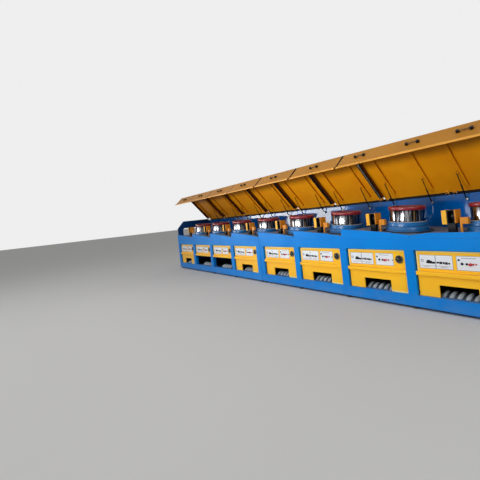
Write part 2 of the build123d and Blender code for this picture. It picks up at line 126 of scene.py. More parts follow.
class Graph:
    """Adds nodes to a node tree and links them."""

    def __init__(self, tree: Tree) -> None:
        """Takes the tree that the nodes go into."""
        self.tree = tree

    def add(self, kind: str, settings: dict | None = None, **inputs: object) -> bpy.types.Node:
        """Adds one node.

        Args:
            kind: The node's type name.
            settings: Attributes of the node to set.
            **inputs: Values or output sockets for its inputs, by name with _ for a space.

        Returns:
            The node.
        """
        node = self.tree.nodes.new(kind)
        for key, value in (settings or {}).items():
            setattr(node, key, value)
        for key, value in inputs.items():
            self.feed(node.inputs[key.replace("_", " ")], value)
        return node

    def feed(self, socket: Socket, value: object) -> None:
        """Links an output to a socket, or sets the socket's value."""
        if isinstance(value, Socket):
            self.tree.links.new(value, socket)
        else:
            socket.default_value = value

    def fill(self, node: bpy.types.Node, values: dict[str, object]) -> None:
        """Feeds a node's inputs by name."""
        for key, value in values.items():
            self.feed(node.inputs[key], value)

    def effect(self, name: str, **inputs: object) -> bpy.types.Node:
        """Adds one of the shared effects, with its inputs as in add."""
        return self.add("ShaderNodeGroup", {"node_tree": GROUPS[name]}, **inputs)

    def coords(self, kind: str = "Object") -> Socket:
        """Coordinates of one kind at the shaded point."""
        return self.add("ShaderNodeTexCoord").outputs[kind]

    def upright(self, vector: object) -> Socket:
        """The Z part of a vector."""
        return self.add("ShaderNodeSeparateXYZ", Vector=vector).outputs["Z"]

    def noise(self, place: object, scale: object, detail: float, roughness: float = 0.5) -> Socket:
        """Cloudy noise.

        Args:
            place: The output that says where it is read.
            scale: How fine it is, a number or an output.
            detail: How many finer layers it has.
            roughness: How strong they are.

        Returns:
            The noise's output.
        """
        node = self.add("ShaderNodeTexNoise", Vector=place, Scale=scale, Detail=detail, Roughness=roughness)
        return node.outputs["Fac"]

    def bump(self, height: object, strength: float, depth: float) -> Socket:
        """The bent normal that a height gives."""
        return self.add("ShaderNodeBump", Height=height, Strength=strength, Distance=depth).outputs["Normal"]

    def mix(self, share: object, first: object, second: object) -> Socket:
        """Blends two colours.

        Args:
            share: How much of the second colour, a number or an output.
            first, second: The colours, as values or outputs.

        Returns:
            The blended colour's output.
        """
        node = self.add("ShaderNodeMix", {"data_type": "RGBA"})
        for index, value in zip(MIX_INPUTS, (share, first, second)):
            self.feed(node.inputs[index], value)
        return node.outputs[MIX_RESULT]

    def maths(self, operation: str, first: object, second: object) -> Socket:
        """One arithmetic step.

        Args:
            operation: The Math node's operation.
            first, second: Its two values, as numbers or outputs.

        Returns:
            The result's output.
        """
        node = self.add("ShaderNodeMath", {"operation": operation})
        self.feed(node.inputs[0], first)
        self.feed(node.inputs[1], second)
        return node.outputs[0]

    def times(self, first: object, second: object) -> Socket:
        """The product of two values."""
        return self.maths("MULTIPLY", first, second)

    def plus(self, first: object, second: object) -> Socket:
        """The sum of two values."""
        return self.maths("ADD", first, second)

    def ramp(self, value: object, low: float, high: float) -> Socket:
        """A value spread from 0 at low to 1 at high, smoothly and clamped."""
        node = self.add("ShaderNodeMapRange", {"interpolation_type": "SMOOTHSTEP"}, Value=value)
        node.inputs["From Min"].default_value = low
        node.inputs["From Max"].default_value = high
        return node.outputs[0]


def new_group(
    name: str, inputs: Sequence[tuple[str, str, object]], outputs: Sequence[tuple[str, str]]
) -> tuple:
    """An empty shader node group with its sockets.

    Args:
        name: The group's name.
        inputs: Name, socket type and default of each input.
        outputs: Name and socket type of each output.

    Returns:
        The group, its graph, its input node's outputs and its output node's inputs.
    """
    tree = bpy.data.node_groups.new(name, "ShaderNodeTree")
    for label, kind, default in inputs:
        tree.interface.new_socket(name=label, in_out="INPUT", socket_type=kind).default_value = default
    for label, kind in outputs:
        tree.interface.new_socket(name=label, in_out="OUTPUT", socket_type=kind)
    graph = Graph(tree)
    given = graph.add("NodeGroupInput").outputs
    return tree, graph, given, graph.add("NodeGroupOutput").inputs


def drift_group() -> Tree:
    """Group that lets a colour drift towards a second one in soft clouds."""
    tree, graph, given, out = new_group(
        "tone_drift",
        [("Base", COLOUR, MID_GREY), ("Second", COLOUR, MID_GREY), ("Scale", NUMBER, 1.5),
         ("Amount", NUMBER, 0.5)],
        [("Colour", COLOUR), ("Mask", NUMBER)],
    )
    cloud = graph.ramp(graph.noise(graph.coords(), given["Scale"], 4.0), *CLOUD_EDGES)
    share = graph.times(cloud, given["Amount"])
    graph.feed(out["Colour"], graph.mix(share, given["Base"], given["Second"]))
    graph.feed(out["Mask"], share)
    return tree


def settle_group() -> Tree:
    """Group that lays workshop dust on a colour, thickest at the floor and on faces that look up."""
    tree, graph, given, out = new_group(
        "settled_dust",
        [("Colour", COLOUR, MID_GREY), ("Dust", COLOUR, MID_GREY), ("Top", NUMBER, 0.4),
         ("Low Amount", NUMBER, 0.3), ("Up Amount", NUMBER, 0.3)],
        [("Colour", COLOUR), ("Mask", NUMBER)],
    )
    place = graph.coords()
    patches = graph.ramp(graph.noise(place, 6.0, 6.0), *PATCH_EDGES)
    height = graph.maths("DIVIDE", graph.upright(place), given["Top"])
    low = graph.ramp(graph.maths("SUBTRACT", 1.0, height), 0.0, 1.0)
    low = graph.times(low, given["Low Amount"])
    lift = graph.ramp(graph.upright(graph.coords("Normal")), *UPWARD_EDGES)
    upward = graph.times(lift, given["Up Amount"])
    mask = graph.times(graph.maths("MAXIMUM", low, upward), graph.plus(patches, LEAST_DUST))
    mask = graph.maths("MINIMUM", mask, 1.0)
    graph.feed(out["Colour"], graph.mix(mask, given["Colour"], given["Dust"]))
    graph.feed(out["Mask"], mask)
    return tree


def rub_group() -> Tree:
    """Group that gives small rubs and chips as a mask."""
    tree, graph, given, out = new_group(
        "rub_marks", [("Scale", NUMBER, 20.0), ("Amount", NUMBER, 0.3)], [("Mask", NUMBER)]
    )
    place = graph.coords()
    chips = graph.ramp(graph.noise(place, given["Scale"], 8.0, 0.7), *CHIP_EDGES)
    where = graph.ramp(graph.noise(place, 1.3, 2.0), *CHIP_PLACES)
    mask = graph.times(graph.times(chips, where), given["Amount"])
    graph.feed(out["Mask"], mask)
    return tree


def skin_group() -> Tree:
    """Group that gives the height of sprayed paint's skin, with faint waves of the sheet under it."""
    tree, graph, given, out = new_group(
        "sprayed_skin", [("Fine Scale", NUMBER, 260.0), ("Wave Scale", NUMBER, 2.2)], [("Height", NUMBER)]
    )
    place = graph.coords()
    small = graph.times(graph.noise(place, given["Fine Scale"], 2.0), SKIN_GRAIN)
    graph.feed(out["Height"], graph.plus(small, graph.noise(place, given["Wave Scale"], 1.0)))
    return tree


def streak_group() -> Tree:
    """Group that gives bands which run along one way of a piece's own UV map."""
    tree, graph, given, out = new_group(
        "uv_streaks", [("Across", NUMBER, 40.0), ("Along", NUMBER, 1.0)], [("Streak", NUMBER)]
    )
    parts = graph.add("ShaderNodeSeparateXYZ", Vector=graph.coords("UV")).outputs
    across = graph.times(parts["X"], given["Across"])
    along = graph.times(parts["Y"], given["Along"])
    spot = graph.add("ShaderNodeCombineXYZ", X=across, Y=along).outputs[0]
    graph.feed(out["Streak"], graph.noise(spot, 1.0, 5.0, 0.6))
    return tree


def height_shade_group() -> Tree:
    """Group that paints shade: it darkens a colour upwards between two heights, with a cloudy edge."""
    tree, graph, given, out = new_group(
        "height_painted_shade",
        [("Colour", COLOUR, MID_GREY), ("Stain", COLOUR, MID_GREY), ("Low", NUMBER, 2.3),
         ("High", NUMBER, 2.4), ("Amount", NUMBER, 0.5)],
        [("Colour", COLOUR)],
    )
    place = graph.coords()
    cloud = graph.times(graph.noise(place, 3.0, 4.0), SHADE_RAGGED)
    ragged = graph.plus(graph.upright(place), cloud)
    span = graph.maths("SUBTRACT", given["High"], given["Low"])
    share = graph.maths("DIVIDE", graph.maths("SUBTRACT", ragged, given["Low"]), span)
    share = graph.times(graph.ramp(share, 0.0, 1.0), given["Amount"])
    graph.feed(out["Colour"], graph.mix(share, given["Colour"], given["Stain"]))
    return tree


GROUPS = {
    "drift": drift_group(),
    "settle": settle_group(),
    "rub": rub_group(),
    "skin": skin_group(),
    "streak": streak_group(),
    "height_shade": height_shade_group(),
}


def new_material(name: str) -> tuple[Material, Graph, bpy.types.Node]:
    """A new material with its graph and its shader."""
    made = bpy.data.materials.new(name)
    made.use_nodes = True
    return made, Graph(made.node_tree), made.node_tree.nodes["Principled BSDF"]


@dataclass(frozen=True)
class Finish:
    """A finish, whose material is built when it is first used."""

    name: str

    def material(self) -> Material:
        """The finish's one material."""
        return bpy.data.materials.get(self.name) or self.build()

    def build(self) -> Material:
        """Builds the material."""
        raise NotImplementedError


@dataclass(frozen=True)
class Paint(Finish):
    """Sprayed machine paint with drift, dust, rubs and a skin, and optional painted shade that darkens it
    upwards.
    """

    colour: Colour
    second: Colour
    bare_and_lit: Colour = srgb(96, 92, 86)
    dust: Colour = srgb(150, 142, 128)
    drift_scale: float = 1.6
    drift: float = 0.5
    dust_top: float = 0.35
    low_dust: float = 0.35
    up_dust: float = 0.35
    rub: float = 0.25
    roughness: float = 0.36
    dust_roughness: float = 0.5
    drift_roughness: float = 0.12
    gloss: float = 0.2
    coat: float = 0.0
    coat_roughness: float = 0.12
    bump: float = 0.12
    bump_depth: float = 0.004
    metallic: float = 0.0
    # Painted shade: darkens the colour upwards between two heights, as shade near a cover's fold.
    height_shade: float = 0.0
    shade_colour: Colour = srgb(84, 40, 4)
    shade_from: float = 2.26
    shade_to: float = 2.44

    def build(self) -> Material:
        """Builds the material."""
        made, graph, shader = new_material(self.name)
        drift = graph.effect(
            "drift", Base=self.colour, Second=self.second, Scale=self.drift_scale, Amount=self.drift)
        rub = graph.effect("rub", Amount=self.rub)
        worn = graph.mix(rub.outputs["Mask"], drift.outputs["Colour"], self.bare_and_lit)
        # Painted shade, darker upwards between two heights.
        if self.height_shade:
            darkened = graph.effect("height_shade", Colour=worn, Amount=self.height_shade, Stain=self.shade_colour,
                                   Low=self.shade_from, High=self.shade_to)
            worn = darkened.outputs["Colour"]
        dust = graph.effect("settle", Colour=worn, Dust=self.dust, Top=self.dust_top,
                            Low_Amount=self.low_dust, Up_Amount=self.up_dust)
        rough = graph.times(dust.outputs["Mask"], self.dust_roughness)
        rough = graph.plus(rough, self.roughness)
        more = graph.times(drift.outputs["Mask"], self.drift_roughness)
        skin = graph.effect("skin").outputs["Height"]
        graph.fill(shader, {
            "Base Color": dust.outputs["Colour"],
            "Roughness": graph.plus(rough, more),
            "Normal": graph.bump(skin, self.bump, self.bump_depth),
            "Specular IOR Level": self.gloss,
            "Coat Weight": self.coat,
            "Coat Roughness": self.coat_roughness,
            "Metallic": self.metallic,
        })
        made.diffuse_color = self.colour
        return made


@dataclass(frozen=True)
class DrawnSteel(Finish):
    """Ground and polished steel with painted reflections: bright and dark bands that follow the piece's own
    UV map, with worn grooves.
    """

    bright: Colour = srgb(200, 201, 206)
    dark: Colour = srgb(24, 24, 28)
    across: float = 46.0
    along: float = 0.3
    groove_across: float = 1.5
    groove_along: float = 60.0
    groove_dark: float = 0.45
    groove_bump: float = 0.25
    groove_depth: float = 0.0008
    groove_roughness: float = 0.2
    roughness: float = 0.2

    def build(self) -> Material:
        """Builds the material."""
        made, graph, shader = new_material(self.name)
        streak = graph.effect("streak", Across=self.across, Along=self.along).outputs["Streak"]
        # Painted reflection: bright and dark bands round the drum.
        reflection_tone = graph.mix(graph.ramp(streak, *REFLECTION_BAND_EDGES), self.dark, self.bright)
        groove = graph.effect("streak", Across=self.groove_across, Along=self.groove_along).outputs["Streak"]
        worn = graph.ramp(groove, *GROOVE_EDGES)
        rough = graph.times(worn, self.groove_roughness)
        graph.fill(shader, {
            "Base Color": graph.mix(graph.times(worn, self.groove_dark), reflection_tone, self.dark),
            "Roughness": graph.plus(rough, self.roughness),
            "Normal": graph.bump(groove, self.groove_bump, self.groove_depth),
            "Metallic": 1.0,
        })
        made.diffuse_color = self.bright
        return made


@dataclass(frozen=True)
class Finishes:
    """Every finish of the machine."""

    frame: Paint = Paint("azure_paint", srgb(0, 129, 216), srgb(0, 116, 204), gloss=0.08, low_dust=0.12)
    # Painted shade: a darker copy of the frame blue for the rear walls.
    wall: Paint = Paint(
        "wall_blue_painted_shade", srgb(0, 98, 184), srgb(0, 86, 166), rub=0.1, roughness=0.05, gloss=0.42,
        drift=0.3, bump=0.01)
    # Painted shade: a darker copy of the frame blue for the end portals.
    portal: Paint = Paint("portal_blue_painted_shade", srgb(4, 62, 120), srgb(2, 46, 96), rub=0.15)
    # Painted shade: near-black navy for the beams, pans and rear panels inside the bays.
    inner: Paint = Paint("bay_inside_painted_shade", srgb(10, 26, 62), srgb(6, 16, 42), up_dust=0.2, roughness=0.5)
    deck: Paint = Paint("table_top_grime", srgb(98, 118, 146), srgb(58, 68, 84), dust=srgb(150, 154, 162),
                        drift_scale=5.0, drift=0.9, up_dust=0.55, rub=0.6, roughness=0.45)
    tray: Paint = Paint("splash_tray_grime", srgb(58, 66, 80), srgb(24, 27, 34), dust=srgb(118, 122, 128),
                        drift_scale=9.0, drift=0.9, up_dust=0.4, rub=0.8, roughness=0.35)
    base: Paint = Paint("base_blue_paint", srgb(24, 112, 178), srgb(10, 80, 140), up_dust=0.3, rub=0.5,
                        roughness=0.24, gloss=0.5)
    panel: Paint = Paint(
        "panel_yellow_paint", srgb(255, 194, 36), srgb(252, 182, 22), dust=srgb(196, 168, 110),
        low_dust=0.2, rub=0.1)
    # Painted highlight: pale yellow for lit panel and door edges.
    edge_highlight: Paint = Paint("panel_edge_painted_highlight", srgb(255, 236, 158), srgb(252, 228, 138), rub=0.2)
    # The cover paint as lit on the underside, orange, with painted shade darkening it towards the fold.
    cover_in: Paint = Paint("cover_underside_lit_orange", srgb(255, 168, 12), srgb(244, 150, 4), drift=0.6,
                            up_dust=0.0, low_dust=0.0, rub=0.05, roughness=0.4, height_shade=0.8)
    # Painted shade: brown for the flange faces near a cover's ends.
    cover_side: Paint = Paint(
        "cover_flange_painted_shade", srgb(120, 66, 12), srgb(96, 50, 8), up_dust=0.0, low_dust=0.0, rub=0.1,
        roughness=0.5)
    # Painted shade: darker orange on the ribs' side faces.
    cover_rib: Paint = Paint(
        "cover_rib_painted_shade", srgb(206, 124, 10), srgb(186, 108, 6), up_dust=0.0, low_dust=0.0, rub=0.05,
        roughness=0.4)
    # Painted shade: tan, the cover paint as it looks shaded on the flap.
    cover_flap: Paint = Paint(
        "cover_flap_painted_shade", srgb(182, 122, 30), srgb(162, 108, 38), drift_scale=0.9, gloss=0.08,
        up_dust=0.1, low_dust=0.0, rub=0.05)
    cover_top: Paint = Paint("cover_roof_paint", srgb(222, 160, 52), srgb(206, 150, 60), drift_scale=0.9,
                             up_dust=0.25, low_dust=0.0, rub=0.05)
    # Painted highlight: paler than the flap along the hem.
    hem: Paint = Paint(
        "cover_hem_painted_highlight", srgb(226, 160, 62), srgb(208, 144, 50), up_dust=0.0, low_dust=0.0, rub=0.1)
    handle: Paint = Paint("handle_bar_tan", srgb(132, 96, 46), srgb(110, 78, 36), up_dust=0.0, rub=0.5)
    # Painted highlight: pale off-white for lit edges.
    pale_highlight: Paint = Paint(
        "painted_highlight_pale", srgb(232, 228, 218), srgb(206, 202, 192), up_dust=0.0, rub=0.2)
    # Painted shade: near-black for the dark seams and gaps at panels, covers and roof seals.
    shade_black: Paint = Paint(
        "painted_shade_black", srgb(18, 18, 20), srgb(10, 10, 12), up_dust=0.2, rub=0.0, roughness=0.7)
    cheek: Paint = Paint(
        "die_box_yellow_paint", srgb(250, 186, 50), srgb(240, 166, 34), up_dust=0.2, rub=0.4)
    # Painted shade: the cheek yellow as it looks shaded, orange, for faces turned down or right.
    guide: Paint = Paint(
        "yellow_painted_shade", srgb(224, 142, 30), srgb(204, 122, 22), up_dust=0.2, rub=0.4)
    black: Paint = Paint(
        "black_enamel", srgb(16, 17, 21), srgb(9, 9, 11), up_dust=0.2, rub=0.5, roughness=0.4)
    rim: Paint = Paint(
        "dark_red_enamel", srgb(146, 24, 38), srgb(122, 14, 28), up_dust=0.1, rub=0.35, roughness=0.2,
        gloss=0.5, coat=0.3)
    iron: Paint = Paint(
        "dark_iron", srgb(52, 54, 60), srgb(34, 35, 40), up_dust=0.3, rub=0.6, roughness=0.5)
    hose: Paint = Paint("ribbed_hose_grey", srgb(186, 196, 202), srgb(160, 172, 180), up_dust=0.2,
                        dust=srgb(130, 130, 126), rub=0.0, roughness=0.5)
    # Painted shade: dark grey-blue in the hose's grooves.
    hose_groove_shade: Paint = Paint("hose_groove_painted_shade", srgb(46, 62, 78), srgb(30, 42, 56), up_dust=0.0, rub=0.0)
    zinc: Paint = Paint("bright_zinc", srgb(196, 196, 190), srgb(170, 170, 160), metallic=1.0, roughness=0.3)
    chrome: Paint = Paint("hard_chrome", srgb(58, 56, 56), srgb(44, 42, 42), metallic=0.8, rub=0.0,
                          up_dust=0.0, roughness=0.14)
    plate: Paint = Paint("instrument_plate_white", srgb(228, 231, 236), srgb(220, 223, 229), rub=0.0)
    plate_edge: Paint = Paint("instrument_plate_edge", srgb(146, 156, 168), srgb(128, 138, 150), rub=0.1)
    bezel: Paint = Paint("gauge_ring_olive", srgb(140, 130, 92), srgb(108, 102, 78), rub=0.2, metallic=0.4)
    mark: Paint = Paint(
        "diagram_ink", srgb(22, 22, 27), srgb(16, 16, 20), rub=0.0, up_dust=0.0, roughness=0.5)
    faint: Paint = Paint("diagram_grey", srgb(160, 164, 170), srgb(146, 150, 156), rub=0.0, up_dust=0.0)
    red: Paint = Paint(
        "button_red", srgb(190, 34, 46), srgb(174, 26, 38), rub=0.0, up_dust=0.0, roughness=0.25)
    green: Paint = Paint(
        "button_green", srgb(18, 70, 72), srgb(14, 58, 62), rub=0.0, up_dust=0.0, roughness=0.25)
    steel: DrawnSteel = DrawnSteel("drum_steel_painted_reflections")


FINISH = Finishes()


def settle_selection() -> None:
    """Leaves edit mode and deselects every object."""
    if bpy.context.object and bpy.context.object.mode != "OBJECT":
        bpy.ops.object.mode_set(mode="OBJECT")
    bpy.ops.object.select_all(action="DESELECT")


class Work:
    """One piece on the bench: a mesh that is shaped in edit mode and then finished."""

    def __init__(self, obj: bpy.types.Object) -> None:
        """Takes the object to shape."""
        self.obj = obj

    @classmethod
    def fresh(cls, name: str) -> "Work":
        """Names the primitive that was just added and takes it on the bench."""
        obj = bpy.context.object
        obj.name = name
        obj.data.name = name
        return cls(obj)

    @classmethod
    def block(cls, name: str, low: Point, high: Point) -> "Work":
        """A box between two corners."""
        settle_selection()
        middle = [(a + b) / 2 for a, b in zip(low, high)]
        bpy.ops.mesh.primitive_cube_add(size=1, location=middle)
        work = cls.fresh(name)
        work.obj.scale = [b - a for a, b in zip(low, high)]
        return work.settle()

    @classmethod
    def bar(cls, name: str, start: Point, end: Point, radius: float, sides: int = 24) -> "Work":
        """A round bar from one point to another."""
        settle_selection()
        line = Vector(end) - Vector(start)
        bpy.ops.mesh.primitive_cylinder_add(vertices=sides, radius=radius, depth=line.length)
        work = cls.fresh(name)
        turn = line.to_track_quat("Z", "Y").to_matrix().to_4x4()
        return work.place(Matrix.Translation((Vector(start) + Vector(end)) / 2) @ turn)

    @classmethod
    def turned(cls, name: str, profile: Sequence[Flat], place: Matrix, steps: int = 64) -> "Work":
        """A turned piece: an edge line is extruded point by point and spun about Z.

        Args:
            name: The piece's name.
            profile: Its outline as (radius, height) points.
            place: Where its axis goes.
            steps: How many steps the spin takes.

        Returns:
            The piece, with a UV map that runs round it in U and up it in V.
        """
        settle_selection()
        bpy.ops.mesh.primitive_plane_add(size=0.01)
        work = cls.fresh(name)
        bpy.ops.object.mode_set(mode="EDIT")
        bpy.ops.mesh.select_mode(type="VERT")
        bpy.ops.mesh.select_all(action="SELECT")
        bpy.ops.mesh.merge(type="CENTER")
        bpy.ops.transform.translate(value=(profile[0][0], 0, profile[0][1]))
        for (r0, z0), (r1, z1) in zip(profile, profile[1:]):
            bpy.ops.mesh.extrude_region_move(TRANSFORM_OT_translate={"value": (r1 - r0, 0, z1 - z0)})
        bpy.ops.mesh.select_all(action="SELECT")
        bpy.ops.mesh.spin(steps=steps, angle=2 * math.pi, center=(0, 0, 0), axis=(0, 0, 1))
        bpy.ops.mesh.select_all(action="SELECT")
        bpy.ops.mesh.remove_doubles(threshold=MERGE_DISTANCE)
        bpy.ops.mesh.normals_make_consistent(inside=False)
        bpy.ops.object.mode_set(mode="OBJECT")
        mesh = work.obj.data
        while mesh.uv_layers:
            mesh.uv_layers.remove(mesh.uv_layers[0])
        layer = mesh.uv_layers.new(name="around")
        heights = [p[1] for p in profile]
        low, tall = min(heights), max(max(heights) - min(heights), 1e-6)
        for face in mesh.polygons:
            middle = face.center
            turn = math.atan2(middle.y, middle.x)
            for index in face.loop_indices:
                spot = mesh.vertices[mesh.loops[index].vertex_index].co
                angle = math.atan2(spot.y, spot.x)
                angle += 2 * math.pi * round((turn - angle) / (2 * math.pi))
                layer.data[index].uv = (angle / (2 * math.pi), (spot.z - low) / tall)
        return work.place(place)

    @classmethod
    def from_node(cls, name: str, node: str) -> "Work":
        """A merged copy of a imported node, with its flat faces whole."""
        settle_selection()
        source = frame["nodes"][node]
        mesh = source.data.copy()
        obj = bpy.data.objects.new(name, mesh)
        bpy.context.scene.collection.objects.link(obj)
        obj.select_set(True)
        bpy.context.view_layer.objects.active = obj
        mesh.materials.clear()
        bpy.ops.object.mode_set(mode="EDIT")
        bpy.ops.mesh.select_all(action="SELECT")
        bpy.ops.mesh.remove_doubles(threshold=MERGE_DISTANCE)
        bpy.ops.mesh.dissolve_limited(angle_limit=math.radians(FLAT_DEG))
        bpy.ops.object.mode_set(mode="OBJECT")
        return cls(obj)

    @classmethod
    def sheets(cls, name: str, node: str, edge: float, segments: int = 3) -> "Work":
        """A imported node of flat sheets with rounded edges, whose large faces mirror as flat ones.

        Args:
            name: The piece's name.
            node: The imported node.
            edge: Width of the rounded edges.
            segments: How many steps round them.

        Returns:
            The piece.
        """
        work = cls.from_node(name, node).bevel(edge, segments).smooth()
        modifier = work.obj.modifiers.new("flat_sheets", "WEIGHTED_NORMAL")
        modifier.weight = 100
        modifier.keep_sharp = True
        bpy.ops.object.modifier_apply(modifier=modifier.name)
        return work

    @classmethod
    def joined(cls, name: str, works: Sequence["Work"]) -> "Work":
        """Joins pieces into the first one and names it."""
        first = works[0].join(works[1:])
        first.obj.name = name
        return first

    @property
    def name(self) -> str:
        """The piece's name."""
        return self.obj.name

    def alone(self) -> None:
        """Makes this the only selected object and the active one."""
        settle_selection()
        self.obj.select_set(True)
        bpy.context.view_layer.objects.active = self.obj

    def settle(self) -> "Work":
        """Puts the object's place, turn and size into its mesh."""
        self.alone()
        bpy.ops.object.transform_apply(location=True, rotation=True, scale=True)
        return self

    def place(self, matrix: Matrix) -> "Work":
        """Moves the piece by a matrix and puts that into its mesh."""
        self.obj.matrix_world = matrix
        return self.settle()

    def pick(self, test: FaceTest) -> None:
        """Selects the faces that pass a test, and enters edit mode on them."""
        self.alone()
        bpy.ops.object.mode_set(mode="EDIT")
        bpy.ops.mesh.select_mode(type="FACE")
        bpy.ops.mesh.select_all(action="DESELECT")
        bpy.ops.object.mode_set(mode="OBJECT")
        for face in self.obj.data.polygons:
            face.select = test(face)
        bpy.ops.object.mode_set(mode="EDIT")

    def bevel(self, width: float, segments: int = 2) -> "Work":
        """Rounds the sharp edges with an applied modifier."""
        self.alone()
        modifier = self.obj.modifiers.new("round_edges", "BEVEL")
        modifier.width = width
        modifier.segments = segments
        modifier.limit_method = "ANGLE"
        modifier.angle_limit = math.radians(SHARP_DEG)
        modifier.use_clamp_overlap = True
        bpy.ops.object.modifier_apply(modifier=modifier.name)
        return self

    def smooth(self, degrees: float = 35.0) -> "Work":
        """Shades it smooth up to an angle between faces."""
        self.alone()
        bpy.ops.object.shade_smooth_by_angle(angle=math.radians(degrees))
        return self

    def paint(self, finish: Finish) -> "Work":
        """Gives the whole piece one finish."""
        self.obj.data.materials.clear()
        self.obj.data.materials.append(finish.material())
        return self

    def paint_where(self, finish: Finish, test: FaceTest) -> "Work":
        """Gives a second finish to the faces that pass a test."""
        self.obj.data.materials.append(finish.material())
        self.pick(test)
        self.obj.active_material_index = len(self.obj.data.materials) - 1
        bpy.ops.object.material_slot_assign()
        bpy.ops.object.mode_set(mode="OBJECT")
        return self

    def copy(self, name: str, matrix: Matrix) -> "Work":
        """A copy with its own mesh, moved by a matrix."""
        self.alone()
        bpy.ops.object.duplicate(linked=False)
        return Work.fresh(name).place(matrix)

    def join(self, others: Iterable["Work"]) -> "Work":
        """Joins other pieces into this one."""
        others = list(others)
        if not others:
            return self
        settle_selection()
        for other in others:
            other.obj.select_set(True)
        self.obj.select_set(True)
        bpy.context.view_layer.objects.active = self.obj
        bpy.ops.object.join()
        return self

    def fit(self, body: str, slot: Slot, replaced: Sequence[str] = ()) -> "Work":
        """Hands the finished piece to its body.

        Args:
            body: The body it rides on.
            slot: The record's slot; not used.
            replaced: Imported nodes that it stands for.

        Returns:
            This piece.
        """
        settle_selection()
        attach(self.obj, body)
        if replaced:
            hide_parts(*replaced)
        log.info("piece %s rides on %s with %d faces", self.name, body, len(self.obj.data.polygons))
        return self


def dress_node(node: str, finish: Finish) -> None:
    """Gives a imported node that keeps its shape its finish."""
    slots = frame["nodes"][node].data.materials
    slots.clear()
    slots.append(finish.material())


def shift(x: float = 0.0, y: float = 0.0, z: float = 0.0) -> Matrix:
    """A move as a matrix."""
    return Matrix.Translation((x, y, z))


def corner(radius: float, height: float, steps: Sequence[Flat]) -> list[Flat]:
    """An outline's points about one of its corners, from their steps in radius and height."""
    return [(radius + out, height + up) for out, up in steps]


@dataclass
class FrameModules:
    """Rails, pillars, beams, tables, walls and portals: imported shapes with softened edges."""

    edge: float = 0.003

    def build(self) -> None:
        """Softens the frame's nodes and finishes the plain ones."""
        for node, finish, slot in (
            ("bottom_rails", FINISH.frame, Slot.FRAME_BLUE),
            ("pillars", FINISH.frame, Slot.FRAME_BLUE),
            ("top_beams", FINISH.frame, Slot.FRAME_BLUE),
            ("front_skirts", FINISH.frame, Slot.FRAME_BLUE),
            ("end_portals", FINISH.portal, Slot.FRAME_BLUE),
            ("rear_walls", FINISH.wall, Slot.WALL_BLUE),
        ):
            piece = Work.sheets(f"{node}_sheet", node, self.edge, 2).paint(finish)
            piece.fit(FRAME_BODY, slot, [node])
        for node, finish in (
            # Inside parts: near-black navy painted shade.
            ("base_cross_beams", FINISH.inner), ("base_pans", FINISH.inner), ("rear_panels", FINISH.inner),
            ("end_panels", FINISH.frame), ("joint_plates", FINISH.iron), ("block_decks", FINISH.deck),
            # Roof seals: black painted shade in the gap under the covers' tails.
            ("hinge_brackets", FINISH.zinc), ("strut_brackets", FINISH.zinc), ("roof_seals", FINISH.shade_black),
        ):
            dress_node(node, finish)


@dataclass
class LevellingFeet:
    """Levelling feet: a swivel pad, a threaded stem and its lock nut."""

    pad_radius: float = 0.045
    pad_height: float = 0.014
    stem_radius: float = 0.012
    nut_radius: float = 0.018
    nut_height: float = 0.010
    height: float = 0.040
    pad_edge: float = 0.002
    pad_slope: float = 0.6

    def profile(self) -> list[Flat]:
        """Outline of a foot from the middle of its sole to the top of its stem."""
        pad, tall = self.pad_radius, self.pad_height
        edge, slope, stem = self.pad_edge, self.pad_slope, self.stem_radius
        return [(0, 0), (pad - edge, 0), (pad, edge), (pad, tall * slope), (pad * slope, tall),
                (stem, tall), (stem, self.height), (0, self.height)]

    def build(self, module_xs: Sequence[float], ys: Sequence[float]) -> None:
        """Sets a foot under each pillar.

        Args:
            module_xs: Pillar centres along X.
            ys: The two rails' centres.
        """
        first = Work.turned("levelling_feet_set", self.profile(), HERE, 32)
        nut_z = self.height - self.nut_height
        nut = Work.bar("lock_nut", (0, 0, nut_z), (0, 0, self.height), self.nut_radius, 6)
        first.join([nut]).smooth(30)
        spots = [(x, y) for x in module_xs for y in ys]
        copies = [first.copy(f"foot_{i}", shift(x, y)) for i, (x, y) in enumerate(spots[1:])]
        first.place(shift(*spots[0])).join(copies).paint(FINISH.iron)
        first.fit(FRAME_BODY, Slot.DARK_METAL, ["levelling_feet"])


